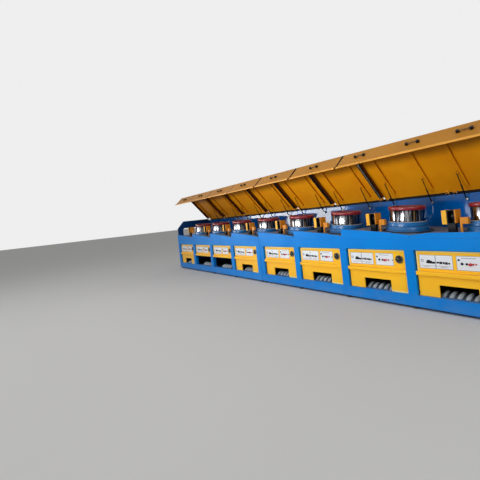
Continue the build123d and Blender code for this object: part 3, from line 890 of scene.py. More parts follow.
@dataclass
class Drum:
    """One drawing drum: wear ring, painted rim, flange, bowl and hub, over its fixed base."""

    tray_radius: float = 0.400
    tray_height: float = 0.014
    base_radius: float = 0.335
    base_height: float = 0.090
    gap: float = 0.005
    flange_radius: float = 0.315
    flange_height: float = 0.072
    ring_radius: float = 0.277
    ring_height: float = 0.193
    rim_radius: float = 0.292
    rim_height: float = 0.055
    bowl_radius: float = 0.250
    bowl_depth: float = 0.040
    hub_radius: float = 0.085
    hub_height: float = 0.024
    bolts: int = 8
    bolt_circle: float = 0.75
    bolt_radius: float = 0.008
    bolt_height: float = 0.007
    shaft_radius: float = 0.06
    shaft_hole: float = 0.0603
    sides: int = 96
    fine_sides: int = 128
    flange_foot: tuple[Flat, ...] = ((-0.004, 0.0), (0.0, 0.004), (0.0, 0.030), (-0.006, 0.036))
    flange_brow: tuple[Flat, ...] = ((-0.006, -0.022), (-0.018, -0.004), (-0.026, 0.0))
    flange_seat: float = 0.004
    highlight_band: float = 0.005
    ring_foot: tuple[Flat, ...] = ((0.010, 0.0005), (0.004, 0.004), (0.001, 0.012), (0.0, 0.022))
    ring_waist: float = 0.0015
    ring_brow: tuple[Flat, ...] = ((0.0, -0.018), (0.003, -0.006), (0.008, 0.0))
    dark_foot: float = 0.010
    rim_seat: float = 0.002
    rim_foot: tuple[Flat, ...] = ((-0.004, 0.001), (0.0, 0.006))
    rim_brow: tuple[Flat, ...] = ((0.0, -0.010), (-0.004, -0.003), (-0.012, 0.0))
    rim_lip: tuple[Flat, ...] = ((0.008, 0.0), (0.002, -0.003), (0.0, -0.010))
    bowl_seat: tuple[Flat, ...] = ((0.0, 0.0), (-0.012, 0.001))
    hub_foot: tuple[Flat, ...] = ((0.020, 0.002), (0.004, 0.006))
    hub_brow: tuple[Flat, ...] = ((0.0, -0.004), (-0.004, 0.0))
    hub_dish: tuple[Flat, ...] = ((0.030, 0.0), (0.026, -0.008), (0.0, -0.008))
    base_foot: tuple[Flat, ...] = ((0.010, 0.0), (0.002, 0.006), (0.0, 0.016))
    base_brow: tuple[Flat, ...] = ((0.0, -0.012), (-0.006, -0.003), (-0.014, 0.0))
    tray_lip: tuple[Flat, ...] = (
        (0.0, -0.002), (-0.002, 0.0), (-0.008, 0.0), (-0.011, -0.006), (-0.016, -0.008))
    tray_seat: tuple[Flat, ...] = ((0.004, -0.008), (0.0, 0.0))

    def place(self, number: int) -> Matrix:
        """Where drum number stands, with Z along its axis."""
        spin = joint(f"drum_{number}_spin")
        axis = Vector(spin["axis"])
        return Matrix.Translation(spin["pos_m"]) @ Matrix.Rotation(math.atan2(axis.x, axis.z), 4, "Y")

    def build_first(self) -> dict[str, tuple[Work, Slot]]:
        """Shapes the pieces of one drum about the origin.

        Returns:
            Each piece by name, with its slot.
        """
        z0 = self.base_height + self.gap
        z1 = z0 + self.flange_height
        z2 = z1 + self.ring_height
        z3 = z2 + self.rim_height
        bowl = z3 - self.bowl_depth
        top = bowl + self.hub_height
        f, r, m, b, h = (self.flange_radius, self.ring_radius, self.rim_radius, self.bowl_radius,
                         self.hub_radius)
        flange = Work.turned("flange", [
            (self.shaft_radius, z0), *corner(f, z0, self.flange_foot), *corner(f, z1, self.flange_brow),
            (r - self.flange_seat, z1),
        ], HERE, self.sides).smooth(28).paint(FINISH.base)
        # Painted highlight: a pale band on the flange's upward top faces.
        flange.paint_where(FINISH.pale_highlight, lambda face: (
            face.center.z > z1 - self.highlight_band and face.normal.z > 0.1))
        ring = Work.turned("wear_ring", [
            *corner(r, z1, self.ring_foot), (r - self.ring_waist, (z1 + z2) / 2),
            *corner(r, z2, self.ring_brow),
        ], HERE, self.fine_sides).smooth(60).paint(FINISH.steel)
        ring.paint_where(FINISH.black, lambda face: face.center.z < z1 + self.dark_foot)
        rim = Work.turned("rim", [
            (r + self.rim_seat, z2), *corner(m, z2, self.rim_foot), *corner(m, z3, self.rim_brow),
            *corner(b, z3, self.rim_lip), (b, bowl),
        ], HERE, self.fine_sides).smooth(50).paint(FINISH.rim)
        disc = Work.turned("bowl", [
            *corner(b, bowl, self.bowl_seat), *corner(h, bowl, self.hub_foot),
            *corner(h, top, self.hub_brow), *corner(0, top, self.hub_dish),
        ], HERE, 64).smooth(30)
        heads = []
        for i in range(self.bolts):
            turn = 2 * math.pi * i / self.bolts
            x, y = self.bolt_circle * h * math.cos(turn), self.bolt_circle * h * math.sin(turn)
            heads.append(Work.bar(
                f"head_{i}", (x, y, top), (x, y, top + self.bolt_height), self.bolt_radius, 6))
        disc.join(heads).paint(FINISH.iron)
        return {
            "wear_ring": (ring, Slot.DRUM_STEEL), "rim": (rim, Slot.DRUM_STEEL),
            "flange": (flange, Slot.BASE_BLUE), "bowl": (disc, Slot.DARK_METAL),
        }

    def build_base(self) -> tuple[Work, Work]:
        """Shapes the fixed base and the splash tray about the origin.

        Returns:
            The base and the tray.
        """
        b, t, h, th = self.base_radius, self.tray_radius, self.base_height, self.tray_height
        base = Work.turned("base", [
            *corner(b, th, self.base_foot), *corner(b, h, self.base_brow), (self.shaft_hole, h),
        ], HERE, self.sides).smooth(40).paint(FINISH.base)
        tray = Work.turned("tray", [
            (t, 0), *corner(t, th, self.tray_lip), *corner(b, th, self.tray_seat),
        ], HERE, self.sides).smooth(30).paint(FINISH.tray)
        return base, tray

    def build(self) -> None:
        """Makes every drum and base from the first ones."""
        first = self.build_first()
        base, tray = self.build_base()
        for number in range(1, BLOCKS + 1):
            place = self.place(number)
            for key, (work, slot) in first.items():
                piece = work.copy(f"drum_{number}_{key}", place)
                piece.fit(f"drum_{number}", slot, [f"drum_{number}"] if key == "wear_ring" else ())
            base.copy(f"base_{number}_ring", place).fit(FRAME_BODY, Slot.BASE_BLUE, ["drum_bases"])
            tray.copy(f"base_{number}_tray", place).fit(FRAME_BODY, Slot.BASE_BLUE)
        for work in [w for w, _ in first.values()] + [base, tray]:
            bpy.data.objects.remove(work.obj)


@dataclass
class WirePath:
    """Die boxes with their cheeks and holders, and the wire guides beside the drums."""

    edge: float = 0.004
    box_edge: float = 0.002
    lead: float = 0.400

    def build(self, drums: Sequence[float]) -> None:
        """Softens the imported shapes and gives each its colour.

        Args:
            drums: The drums' centres along the machine.
        """

        def is_right(face: Face) -> bool:
            """Faces of the cheeks at the right of their boxes, which take the darker copy of the yellow as
            painted shade.
            """
            return any(-self.lead < face.center.x - x < 0 for x in drums)

        boxes = Work.sheets("die_chambers", "die_boxes", self.box_edge, 2).paint(FINISH.black)
        boxes.fit(FRAME_BODY, Slot.DIE_BLACK, ["die_boxes"])
        cheeks = Work.sheets("die_cheeks", "die_box_cheeks", self.edge).paint(FINISH.cheek)
        cheeks.paint_where(FINISH.guide, is_right)
        cheeks.fit(FRAME_BODY, Slot.CHEEK_YELLOW, ["die_box_cheeks"])
        guides = Work.sheets("guide_boxes", "wire_guides", self.edge).paint(FINISH.guide)
        guides.fit(FRAME_BODY, Slot.CHEEK_YELLOW, ["wire_guides"])


@dataclass
class FrontPanels:
    """Instrument panels, ledges and doors, with the plates, buttons and gauges on them."""

    sunk: float = 0.0002
    plate_t: float = 0.0015
    face_t: float = 0.0004
    plate_low: float = 0.619
    plate_high: float = 0.816
    border: float = 0.006
    ink_t: float = 0.0006
    first_x: float = 0.053
    first_w: float = 0.464
    second_x: float = 0.562
    second_w: float = 0.322
    sign_at: Flat = (0.042, 0.014)
    sign_radii: Flat = (0.014, 0.021)
    button_drop: float = 0.008
    button_out: float = 0.011
    black_buttons: tuple[Flat, ...] = ((0.22, 0.015), (0.40, 0.013), (0.95, 0.007))
    red_buttons: tuple[Flat, ...] = ((0.64, 0.010), (0.74, 0.010))
    lamp_at: Flat = (0.10, 0.042)
    lamp_radius: float = 0.012
    lamp_out: float = 0.010
    gauge_in: float = 0.114
    gauge_radius: float = 0.065
    gauge_out: float = 0.014
    ticks: int = 11
    tick_deg: float = 27.0
    first_tick_deg: float = -225.0
    tick_in: float = 0.019
    tick_lengths: Flat = (0.006, 0.010)
    tick_half: float = 0.0006
    tick_out: float = 0.0064
    needle_deg: float = 200.0
    needle_in: float = 0.028
    needle_half: float = 0.0012
    needle_t: float = 0.0005
    needle_out: float = 0.0085
    bezel_wide: float = 0.009
    bezel_edge: float = 0.002
    bezel_flat: float = 0.006
    bezel_foot: float = 0.004
    dial_in: float = 0.008
    dial_out: float = 0.006
    cap: Flat = (0.004, 0.009)
    title_mark: Mark = (0.20, 0.76, 0.064, 0.074)
    panel_edge: float = 0.003
    ledge_edge: float = 0.006
    stop_edge: float = 0.005
    gap: float = 0.002
    cutout_w: float = 0.500
    shadow_line: float = 0.012
    edge_highlight: float = 0.018
    edge_t: float = 0.0015
    door_bays: tuple[int, ...] = (0, 3, 4, 5, 6, 7)
    first_marks: tuple[Mark, ...] = (
        (0.098, 0.120, -0.022, 0.004), (0.112, 0.158, -0.026, 0.026), (0.150, 0.184, -0.026, 0.014),
        (0.178, 0.226, -0.026, 0.002), (0.244, 0.280, -0.020, 0.004), (0.284, 0.322, -0.026, 0.008),
        (0.328, 0.356, -0.024, 0.004), (0.360, 0.398, -0.030, 0.004), (0.402, 0.428, -0.026, -0.002),
    )
    faint_marks: tuple[Mark, ...] = (
        (0.020, 0.440, -0.060, -0.054), (0.300, 0.400, -0.078, -0.070), (0.060, 0.150, -0.076, -0.070),
    )

    def strip(self, x0: float, x1: float, z0: float, z1: float, y: float, out: float) -> Work:
        """A flat strip that stands out of a face."""
        return Work.block("strip", (x0, y - out, z0), (x1, y + self.sunk, z1)).bevel(out * 0.3, 1)

    def plate(self, x: float, y: float, wide: float) -> tuple[Work, Work]:
        """A thin plate on the panel's face.

        Args:
            x: Its left side.
            y: The panel's face.
            wide: Its width.

        Returns:
            Its darker edge and the pale face inside that.
        """
        b, low, high = self.border, self.plate_low, self.plate_high
        edge = self.strip(x, x + wide, low, high, y, self.plate_t)
        face = self.strip(x + b, x + wide - b, low + b, high - b, y - self.plate_t, self.face_t)
        return edge, face

    def button(self, x: float, z: float, y: float, radius: float, out: float) -> Work:
        """A push button with its collar, pointing at the operator."""
        profile = [(0, 0), (radius * 1.2, 0), (radius * 1.2, out * 0.25), (radius, out * 0.3),
                   (radius, out * 0.9), (radius * 0.85, out), (0, out)]
        return Work.turned("button", profile, shift(x, y, z) @ TO_FRONT, 20).smooth(30)

    def gauge(self, x: float, z: float, y: float) -> tuple[Work, Work, Work]:
        """A round gauge.

        Args:
            x, z: Its centre.
            y: The panel's face.

        Returns:
            The ring, the black dial, and its white marks with the needle.
        """
        r, out = self.gauge_radius, self.gauge_out
        place = shift(x, y, z) @ TO_FRONT
        ring = Work.turned("bezel", [
            (r, 0), (r, out * 0.7), (r - self.bezel_edge, out), (r - self.bezel_flat, out),
            (r - self.bezel_wide, out * 0.75), (r - self.bezel_wide, self.bezel_foot),
        ], place, 48).smooth(40)
        cap_r, cap_out = self.cap
        profile = [(r - self.dial_in, self.dial_out), (cap_r, self.dial_out), (cap_r, cap_out), (0, cap_out)]
        dial = Work.turned("dial", profile, place, 48)
        half, end = self.tick_half, r - self.tick_in
        marks = []
        for i in range(self.ticks):
            angle = math.radians(self.first_tick_deg + self.tick_deg * i)
            start = end - self.tick_lengths[i % 5 == 0]
            mark = Work.block("tick", (start, -half / 2, -half), (end, half / 2, half))
            marks.append(mark.place(shift(x, y - self.tick_out, z) @ Matrix.Rotation(-angle, 4, "Y")))
        half, thick = self.needle_half, self.needle_t
        needle = Work.block("needle", (0.0, -thick, -half), (r - self.needle_in, thick, half))
        angle = math.radians(self.needle_deg)
        needle.place(shift(x, y - self.needle_out, z) @ Matrix.Rotation(angle, 4, "Y"))
        return ring, dial.smooth(30), marks[0].join(marks[1:] + [needle])

    def plate_face(self, y: float) -> tuple[float, float]:
        """Middle height of the plates, and the face of what is printed on them."""
        return (self.plate_low + self.plate_high) / 2, y - self.plate_t - self.face_t

    def prints(self, x: float, y: float, marks: Iterable[Mark]) -> list[Work]:
        """Printed marks on a plate.

        Args:
            x: The plate's left side.
            y: The panel's face.
            marks: Each mark's two sides from there and its two heights from the plate's middle.

        Returns:
            The marks.
        """
        middle, face = self.plate_face(y)
        return [self.strip(x + a, x + b, middle + low, middle + high, face, self.ink_t)
                for a, b, low, high in marks]

    def first_plate(self, x: float, y: float) -> dict[str, list[Work]]:
        """The two-part diagram plate: a ring sign, and blocks and lines in a row."""
        half = self.first_w / 2
        edge_a, face_a = self.plate(x, y, half)
        edge_b, face_b = self.plate(x + half, y, half)
        ink = self.prints(x, y, self.first_marks)
        faint = self.prints(x, y, self.faint_marks)
        middle, face = self.plate_face(y)
        inner, outer = self.sign_radii
        place = shift(x + self.sign_at[0], face, middle + self.sign_at[1]) @ TO_FRONT
        profile = [(inner, 0), (inner, self.ink_t), (outer, self.ink_t), (outer, 0)]
        ink.append(Work.turned("ring_sign", profile, place, 24))
        return {"edge": [edge_a, edge_b], "plate": [face_a, face_b], "ink": ink, "faint": faint}

    def second_plate(self, x: float, y: float) -> dict[str, list[Work]]:
        """The plate with the buttons and the lamps."""
        wide = self.second_w
        edge, face_piece = self.plate(x, y, wide)
        middle, face = self.plate_face(y)
        low = middle - self.button_drop
        left, right, foot, top = self.title_mark
        faint = self.prints(x, y, [(left * wide, right * wide, foot, top)])
        black, red = (
            [self.button(x + share * wide, low, face, size, self.button_out) for share, size in buttons]
            for buttons in (self.black_buttons, self.red_buttons))
        share, up = self.lamp_at
        green = [self.button(x + share * wide, middle + up, face, self.lamp_radius, self.lamp_out)]
        return {"edge": [edge], "plate": [face_piece], "faint": faint, "black": black, "red": red,
                "green": green}

    def build_bay(self, x0: float, x1: float, y: float) -> dict[str, list[Work]]:
        """Shapes what stands on one instrument panel.

        Args:
            x0, x1: The panel's sides.
            y: Its face.

        Returns:
            The pieces, by the finish that they share.
        """
        made: dict[str, list[Work]] = {}
        for group in (self.first_plate(x0 + self.first_x, y), self.second_plate(x0 + self.second_x, y)):
            for key, works in group.items():
                made.setdefault(key, []).extend(works)
        low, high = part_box("panel_gauges")
        ring, dial, marks = self.gauge(x1 - self.gauge_in, (low.z + high.z) / 2, y)
        made["ring"] = [ring]
        made["ink"].append(dial)
        made["plate"].append(marks)
        low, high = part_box("instrument_panels")
        g, t, out = self.shadow_line, self.edge_highlight, self.edge_t
        # Painted shade: dark lines at the panel's left edge and along its top, under the apron.
        made["shadow_line"] = [self.strip(x0, x0 + g, low.z, high.z, y, out),
                          self.strip(x0 + g, x1, high.z - g, high.z, y, out)]
        # Painted highlight: pale strips inside the dark lines, on the left, top and right.
        made["edge_highlight"] = [self.strip(x0 + g, x0 + g + t, low.z, high.z - g, y, out),
                        self.strip(x0 + g + t, x1, high.z - g - t, high.z - g, y, out),
                        self.strip(x1 - t, x1, low.z, high.z - g - t, y, out)]
        return made

    def build_door(self, x0: float, x1: float, y: float) -> dict[str, list[Work]]:
        """Shapes the edges of one lower door, by the finish that they share."""
        low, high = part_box("lower_doors")
        g, t, out = self.shadow_line, self.edge_highlight, self.edge_t
        right = (x0 + x1) / 2 + self.cutout_w / 2
        # Painted shade at the door's left edge, painted highlight at its right edge and along the cutout's
        # foot.
        return {
            "door_shadow_line": [self.strip(x0, x0 + g, low.z, high.z, y, out)],
            "door_edge_highlight": [self.strip(x1 - t, x1, low.z, high.z, y, out),
                          self.strip(right, x1 - t, low.z, low.z + t, y, out)],
        }

    def build(self, bays: Sequence[float], pillar: float) -> None:
        """Dresses every bay's panels.

        Args:
            bays: Left edges of the bays' pillars.
            pillar: Width of a pillar.
        """
        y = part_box("instrument_panels")[0].y
        x0 = bays[0] + pillar + self.gap
        x1 = x0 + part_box("instrument_panels")[1].x - bays[-1] - pillar - self.gap
        kinds = {
            "plate": (FINISH.plate, Slot.PANEL_YELLOW), "edge": (FINISH.plate_edge, Slot.PANEL_YELLOW),
            "edge_highlight": (FINISH.edge_highlight, Slot.PANEL_YELLOW), "door_edge_highlight": (FINISH.edge_highlight, Slot.PANEL_YELLOW),
            "ink": (FINISH.mark, Slot.GAUGE_BLACK), "faint": (FINISH.faint, Slot.GAUGE_BLACK),
            "black": (FINISH.black, Slot.GAUGE_BLACK), "ring": (FINISH.bezel, Slot.GAUGE_BLACK),
            "red": (FINISH.red, Slot.SIGNAL_RED), "green": (FINISH.green, Slot.SIGNAL_RED),
            "shadow_line": (FINISH.shade_black, Slot.SEAL_BLACK), "door_shadow_line": (FINISH.shade_black, Slot.SEAL_BLACK),
        }
        made = {**self.build_bay(x0, x1, y), **self.build_door(x0, x1, y)}
        for key, works in made.items():
            finish, slot = kinds[key]
            first = works[0].join(works[1:]).paint(finish)
            for number, bay in enumerate(bays[1:], start=1):
                if number in self.door_bays or not key.startswith("door"):
                    first.copy(f"bay_{number + 1}_{key}", shift(bay - bays[0])).fit(FRAME_BODY, slot)
            first.obj.name = f"bay_1_{key}"
            first.fit(FRAME_BODY, slot, ["panel_gauges"] if key == "ink" else ())
        for node, edge in (("instrument_panels", self.panel_edge), ("panel_ledges", self.ledge_edge),
                           ("lower_doors", self.panel_edge)):
            piece = Work.sheets(f"{node}_sheet", node, edge).paint(FINISH.panel)
            piece.fit(FRAME_BODY, Slot.PANEL_YELLOW, [node])
        stops = Work.from_node("stop_button_caps", "stop_buttons").bevel(self.stop_edge, 3).smooth(50)
        stops.paint(FINISH.red).fit(FRAME_BODY, Slot.SIGNAL_RED, ["stop_buttons"])


@dataclass
class Hoses:
    """Ribbed air hoses behind the doors, with ridges that lean as a wound hose's do."""

    radius: float = 0.112
    groove: float = 0.080
    pitch: float = 0.121
    ribs: int = 5
    packed_ribs: int = 4
    steps: int = 10
    lean: float = 0.3
    flatness: float = 0.7
    groove_share: float = 0.5

    def build(self, bays: Sequence[float]) -> None:
        """Turns one hose and copies it to each bay.

        Args:
            bays: Left edges of the bays' pillars.
        """
        low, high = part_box("air_hoses")
        length = self.ribs * self.pitch
        margin = self.radius * self.lean
        count = self.ribs * self.steps
        mean, swing = (self.radius + self.groove) / 2, (self.radius - self.groove) / 2
        points = []
        for i in range(count + 1):
            wave = math.cos(2 * math.pi * i / self.steps + math.pi)
            reach = mean + swing * math.copysign(abs(wave) ** self.flatness, wave)
            points.append((reach, length * i / count))
        first = Work.turned("hose", [(0, 0), *points, (0, length)], HERE, 40).smooth(60)
        # Painted shade darkens the grooves.
        first.paint(FINISH.hose).paint_where(
            FINISH.hose_groove_shade, lambda face: face.center.xy.length < mean - swing * self.groove_share)
        lean = Matrix.Identity(4)
        lean[0][2] = self.lean
        slim = Matrix.Scale((length - 2 * margin) / length, 4, (0, 0, 1))
        lay = Matrix.Rotation(math.pi / 2, 4, "Y") @ slim
        first.obj.data.transform(shift(margin) @ lean @ lay)
        start = low.x - (self.ribs - self.packed_ribs) * self.pitch
        for number, bay in enumerate(bays, start=1):
            spot = shift(start + bay - bays[0], (low.y + high.y) / 2, low.z + self.radius)
            first.copy(f"hose_{number}", spot).fit(FRAME_BODY, Slot.HOSE_GREY, ["air_hoses"])
        bpy.data.objects.remove(first.obj)


@dataclass
class Covers:
    """Bent covers with their handles, and the gas struts that hold them open."""

    open_deg: float = 48.5
    flap_u: float = 1.392
    flap_v: float = -0.604
    brow_v: float = -0.240
    knee_u: float = 1.102
    sheet: float = 0.003
    roof_v: float = 0.018
    flange_d: float = 0.085
    hem_t: float = 0.014
    hem_h: float = 0.042
    handle_l: float = 0.206
    handle_off: float = 0.042
    handle_block: float = 0.036
    handle_drop: float = 0.150
    wide_handles: tuple[float, ...] = (0.459, 1.402, 2.118)
    drum_from_end: float = 0.42375
    rib_in: Flat = (0.292, 0.27375)
    strut_off: float = 0.047
    strut_top: Flat = (0.420, -0.025)
    cylinder_r: float = 0.011
    cylinder_l: float = 0.276
    rod_r: float = 0.0075
    eye_r: float = 0.0095
    eye_w: float = 0.016
    tube_from: float = 0.024
    neck_to: float = 0.026
    neck_r: float = 0.0065
    rod_in: float = 0.030
    skin: float = 0.0015
    near: float = 0.001
    side_w: float = 0.010
    facing: float = 0.9
    roof_facing: float = 0.6
    tail_u: float = -0.02
    strip_w: float = 0.018
    strip_h: float = 0.016
    strip_gap: float = 0.010
    flap_gap: float = 0.006
    hem_gap: float = 0.003
    gap_light: int = 6
    gap_light_inset: float = 0.004
    gap_light_sunk: float = 0.0002

    def hinge(self, number: int) -> Vector:
        """A point on the cover's hinge axis."""
        return Vector(joint(f"cover_{number}_hinge")["pos_m"])

    def axes(self) -> tuple[Vector, Vector]:
        """Directions out of the flap and out of the roof, with the cover open."""
        c, s = math.cos(math.radians(self.open_deg)), math.sin(math.radians(self.open_deg))
        return Vector((0, -c, s)), Vector((0, s, c))

    def opened(self, number: int) -> Matrix:
        """Takes a shape drawn about the hinge of a closed cover to its open place."""
        hinge = self.hinge(number)
        return shift(0, hinge.y, hinge.z) @ Matrix.Rotation(-math.radians(self.open_deg), 4, "X")

    def closed_block(self, number: int, xs: Flat, us: Flat, vs: Flat) -> Work:
        """A block on a cover.

        Args:
            number: The cover.
            xs: Its two sides along the machine.
            us: Its reach from the hinge axis towards the operator, on the closed cover.
            vs: Its reach up from the hinge axis, on the closed cover.

        Returns:
            The block at its place on the open cover.
        """
        piece = Work.block("block", (xs[0], -us[1], vs[0]), (xs[1], -us[0], vs[1]))
        return piece.place(self.opened(number))

    def shell(self, number: int, low: Vector, high: Vector) -> None:
        """Splits a cover's faces into inner side, flap, roof, hem, folds, ribs and handle bars. Flap, hem,
        folds and ribs take lit and shaded copies of the cover paint, and the outer end faces black painted
        shade.

        Args:
            number: The cover.
            low, high: Corners of its box.
        """
        out, up = self.axes()
        hinge = self.hinge(number)
        face_u = self.flap_u + self.sheet

        def reach(face: Face) -> float:
            """How far a face lies from the hinge axis, out along the roof."""
            return (face.center - hinge).dot(out)

        def is_hem(face: Face) -> bool:
            """Faces of the rolled hem."""
            lift = (face.center - hinge).dot(up)
            return reach(face) > face_u + self.near and lift < self.flap_v + self.hem_h + self.near

        def is_side(face: Face) -> bool:
            """Faces that look along the machine, apart from the handles'."""
            return abs(face.normal.x) > self.facing and reach(face) < face_u

        def is_inside(face: Face, margin: float) -> bool:
            """Faces that lie further than a margin from both ends."""
            return low.x + margin < face.center.x < high.x - margin

        def is_roof(face: Face) -> bool:
            """Faces that look out of the roof and the slope."""
            return (face.normal.dot(up) > self.roof_facing and reach(face) > self.tail_u
                    and not is_hem(face))

        tests = (
            (FINISH.cover_flap, lambda face: face.normal.dot(out) > self.facing and not is_hem(face)),
            (FINISH.cover_top, is_roof),
            (FINISH.hem, is_hem),
            (FINISH.cover_rib, lambda face: is_side(face) and is_inside(face, self.side_w)),
            (FINISH.cover_side, lambda face: is_side(face) and not is_inside(face, self.side_w)),
            # Painted shade: black on the outer end faces, where the seams between covers lie in shade.
            (FINISH.shade_black, lambda face: is_side(face) and not is_inside(face, self.near)),
            (FINISH.handle, lambda face: reach(face) > face_u + self.near and not is_hem(face)),
        )
        node = f"cover_{number}"
        work = Work.from_node(f"{node}_shell", node).paint(FINISH.cover_in)
        for finish, test in tests:
            work.paint_where(finish, test)
        work.fit(node, Slot.COVER_YELLOW, [node])

    def seam_shade_strips(self, number: int, low: Vector, high: Vector) -> None:
        """Black strips of painted shade on the side flanges' lower edges and at the flap's left edge, for the
        dark seams between covers.

        Args:
            number: The cover.
            low, high: Corners of its box.
        """
        w, face_u = self.strip_w, self.flap_u + self.sheet
        body = f"cover_{number}"
        v0 = self.roof_v - self.flange_d - self.skin
        run = (self.flange_d + self.strip_gap, self.knee_u - self.flange_d / 2)
        strips = [self.closed_block(number, xs, run, (v0, v0 + self.strip_h)).bevel(0.002, 2)
                  for xs in ((low.x, low.x + w), (high.x - w, high.x))]
        left = (low.x, low.x + w)
        hem_foot, hem_top = self.flap_v + self.hem_gap, self.flap_v + self.hem_h
        u0, u1 = face_u - self.near, face_u + self.skin
        strips.append(self.closed_block(number, left, (u0, u1), (hem_top, self.brow_v - self.flap_gap)))
        hem = self.closed_block(number, left, (u0, face_u + self.hem_t + self.skin), (hem_foot, hem_top))
        strips.append(hem.bevel(0.003, 2))
        piece = Work.joined(f"{body}_seam_shade_strips", strips).smooth(40).paint(FINISH.shade_black)
        piece.fit(body, Slot.SEAL_BLACK)
        # Painted light: a pale strip on one cover's right flange, where light shows through the seam to the
        # next cover.
        if number == self.gap_light:
            xs = (high.x - self.gap_light_sunk, high.x + self.skin)
            vs = (v0 + self.gap_light_inset, v0 + self.flange_d - self.strip_gap)
            bare_and_lit = Work.joined(f"{body}_bare_edge", [self.closed_block(number, xs, run, vs).bevel(0.0005, 1)])
            bare_and_lit.paint(FINISH.pale_highlight).fit(body, Slot.ZINC)

    def handle_ends(self, number: int, xs: Sequence[float]) -> None:
        """Black end blocks over a cover's handle ends.

        Args:
            number: The cover.
            xs: Handle centres along the machine.
        """
        grow, block = self.skin, self.handle_block
        v1 = self.brow_v - self.handle_drop
        u0 = self.flap_u + self.sheet
        us, vs = (u0, u0 + self.handle_off + grow), (v1 - block - grow, v1 + grow)
        blocks = []
        for x in xs:
            for side in (-1, 1):
                xc = x + side * (self.handle_l - block) / 2
                ends = (xc - block / 2 - grow, xc + block / 2 + grow)
                blocks.append(self.closed_block(number, ends, us, vs).bevel(0.005, 3))
        piece = Work.joined(f"cover_{number}_handle_ends", blocks).smooth(40).paint(FINISH.black)
        piece.fit(f"cover_{number}", Slot.STRUT_BLACK)

    def struts(self, number: int, xs: Sequence[float]) -> None:
        """Cylinders, rods and eyes of a cover's gas struts.

        Args:
            number: The cover.
            xs: Strut centres along the machine.
        """
        out, up = self.axes()
        hinge = self.hinge(number)
        foot = Vector(joint(f"strut_{number}_swing")["pos_m"])
        cylinders, rods = [], []
        for x in xs:
            start = Vector((x, foot.y, foot.z))
            end = Vector((x, hinge.y, hinge.z)) + out * self.strut_top[0] + up * self.strut_top[1]
            along = (end - start).normalized()
            half = Vector((self.eye_w / 2, 0, 0))
            mouth = start + along * self.cylinder_l
            cylinders += [
                Work.bar("tube", start + along * self.tube_from, mouth, self.cylinder_r).bevel(0.002, 2),
                Work.bar("neck", start, start + along * self.neck_to, self.neck_r, 16),
                Work.bar("eye", start - half, start + half, self.eye_r).bevel(0.001, 1),
            ]
            rods += [
                Work.bar("rod", mouth - along * self.rod_in, end, self.rod_r, 20),
                Work.bar("top_eye", end - half, end + half, self.eye_r).bevel(0.001, 1),
            ]
        for works, kind, node, finish, slot in (
            (cylinders, "tubes", f"strut_cylinders_{number}", FINISH.black, Slot.STRUT_BLACK),
            (rods, "rods", f"strut_rods_{number}", FINISH.chrome, Slot.ROD_CHROME),
        ):
            piece = Work.joined(f"strut_{number}_{kind}", works).smooth(40).paint(finish)
            piece.fit(node, slot, [node])

    def build(self, drums: Sequence[float]) -> None:
        """Dresses every cover, its handles and its struts.

        Args:
            drums: The drums' centres along the machine.
        """
        pitch = drums[1] - drums[0]
        starts = [x - pitch + self.drum_from_end for x in drums]
        rib_xs = (self.rib_in[0], pitch - self.rib_in[1])
        for number in range(1, BLOCKS):
            span = starts[number - 1:] if number == BLOCKS - 1 else starts[number - 1:number]
            low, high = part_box(f"cover_{number}")
            self.shell(number, low, high)
            self.seam_shade_strips(number, low, high)
            if len(span) == 1:
                handles = [(low.x + high.x) / 2]
            else:
                handles = [span[0] + x for x in self.wide_handles]
            self.handle_ends(number, handles)
            self.struts(number, [x + rib - self.strut_off for x in span for rib in rib_xs])


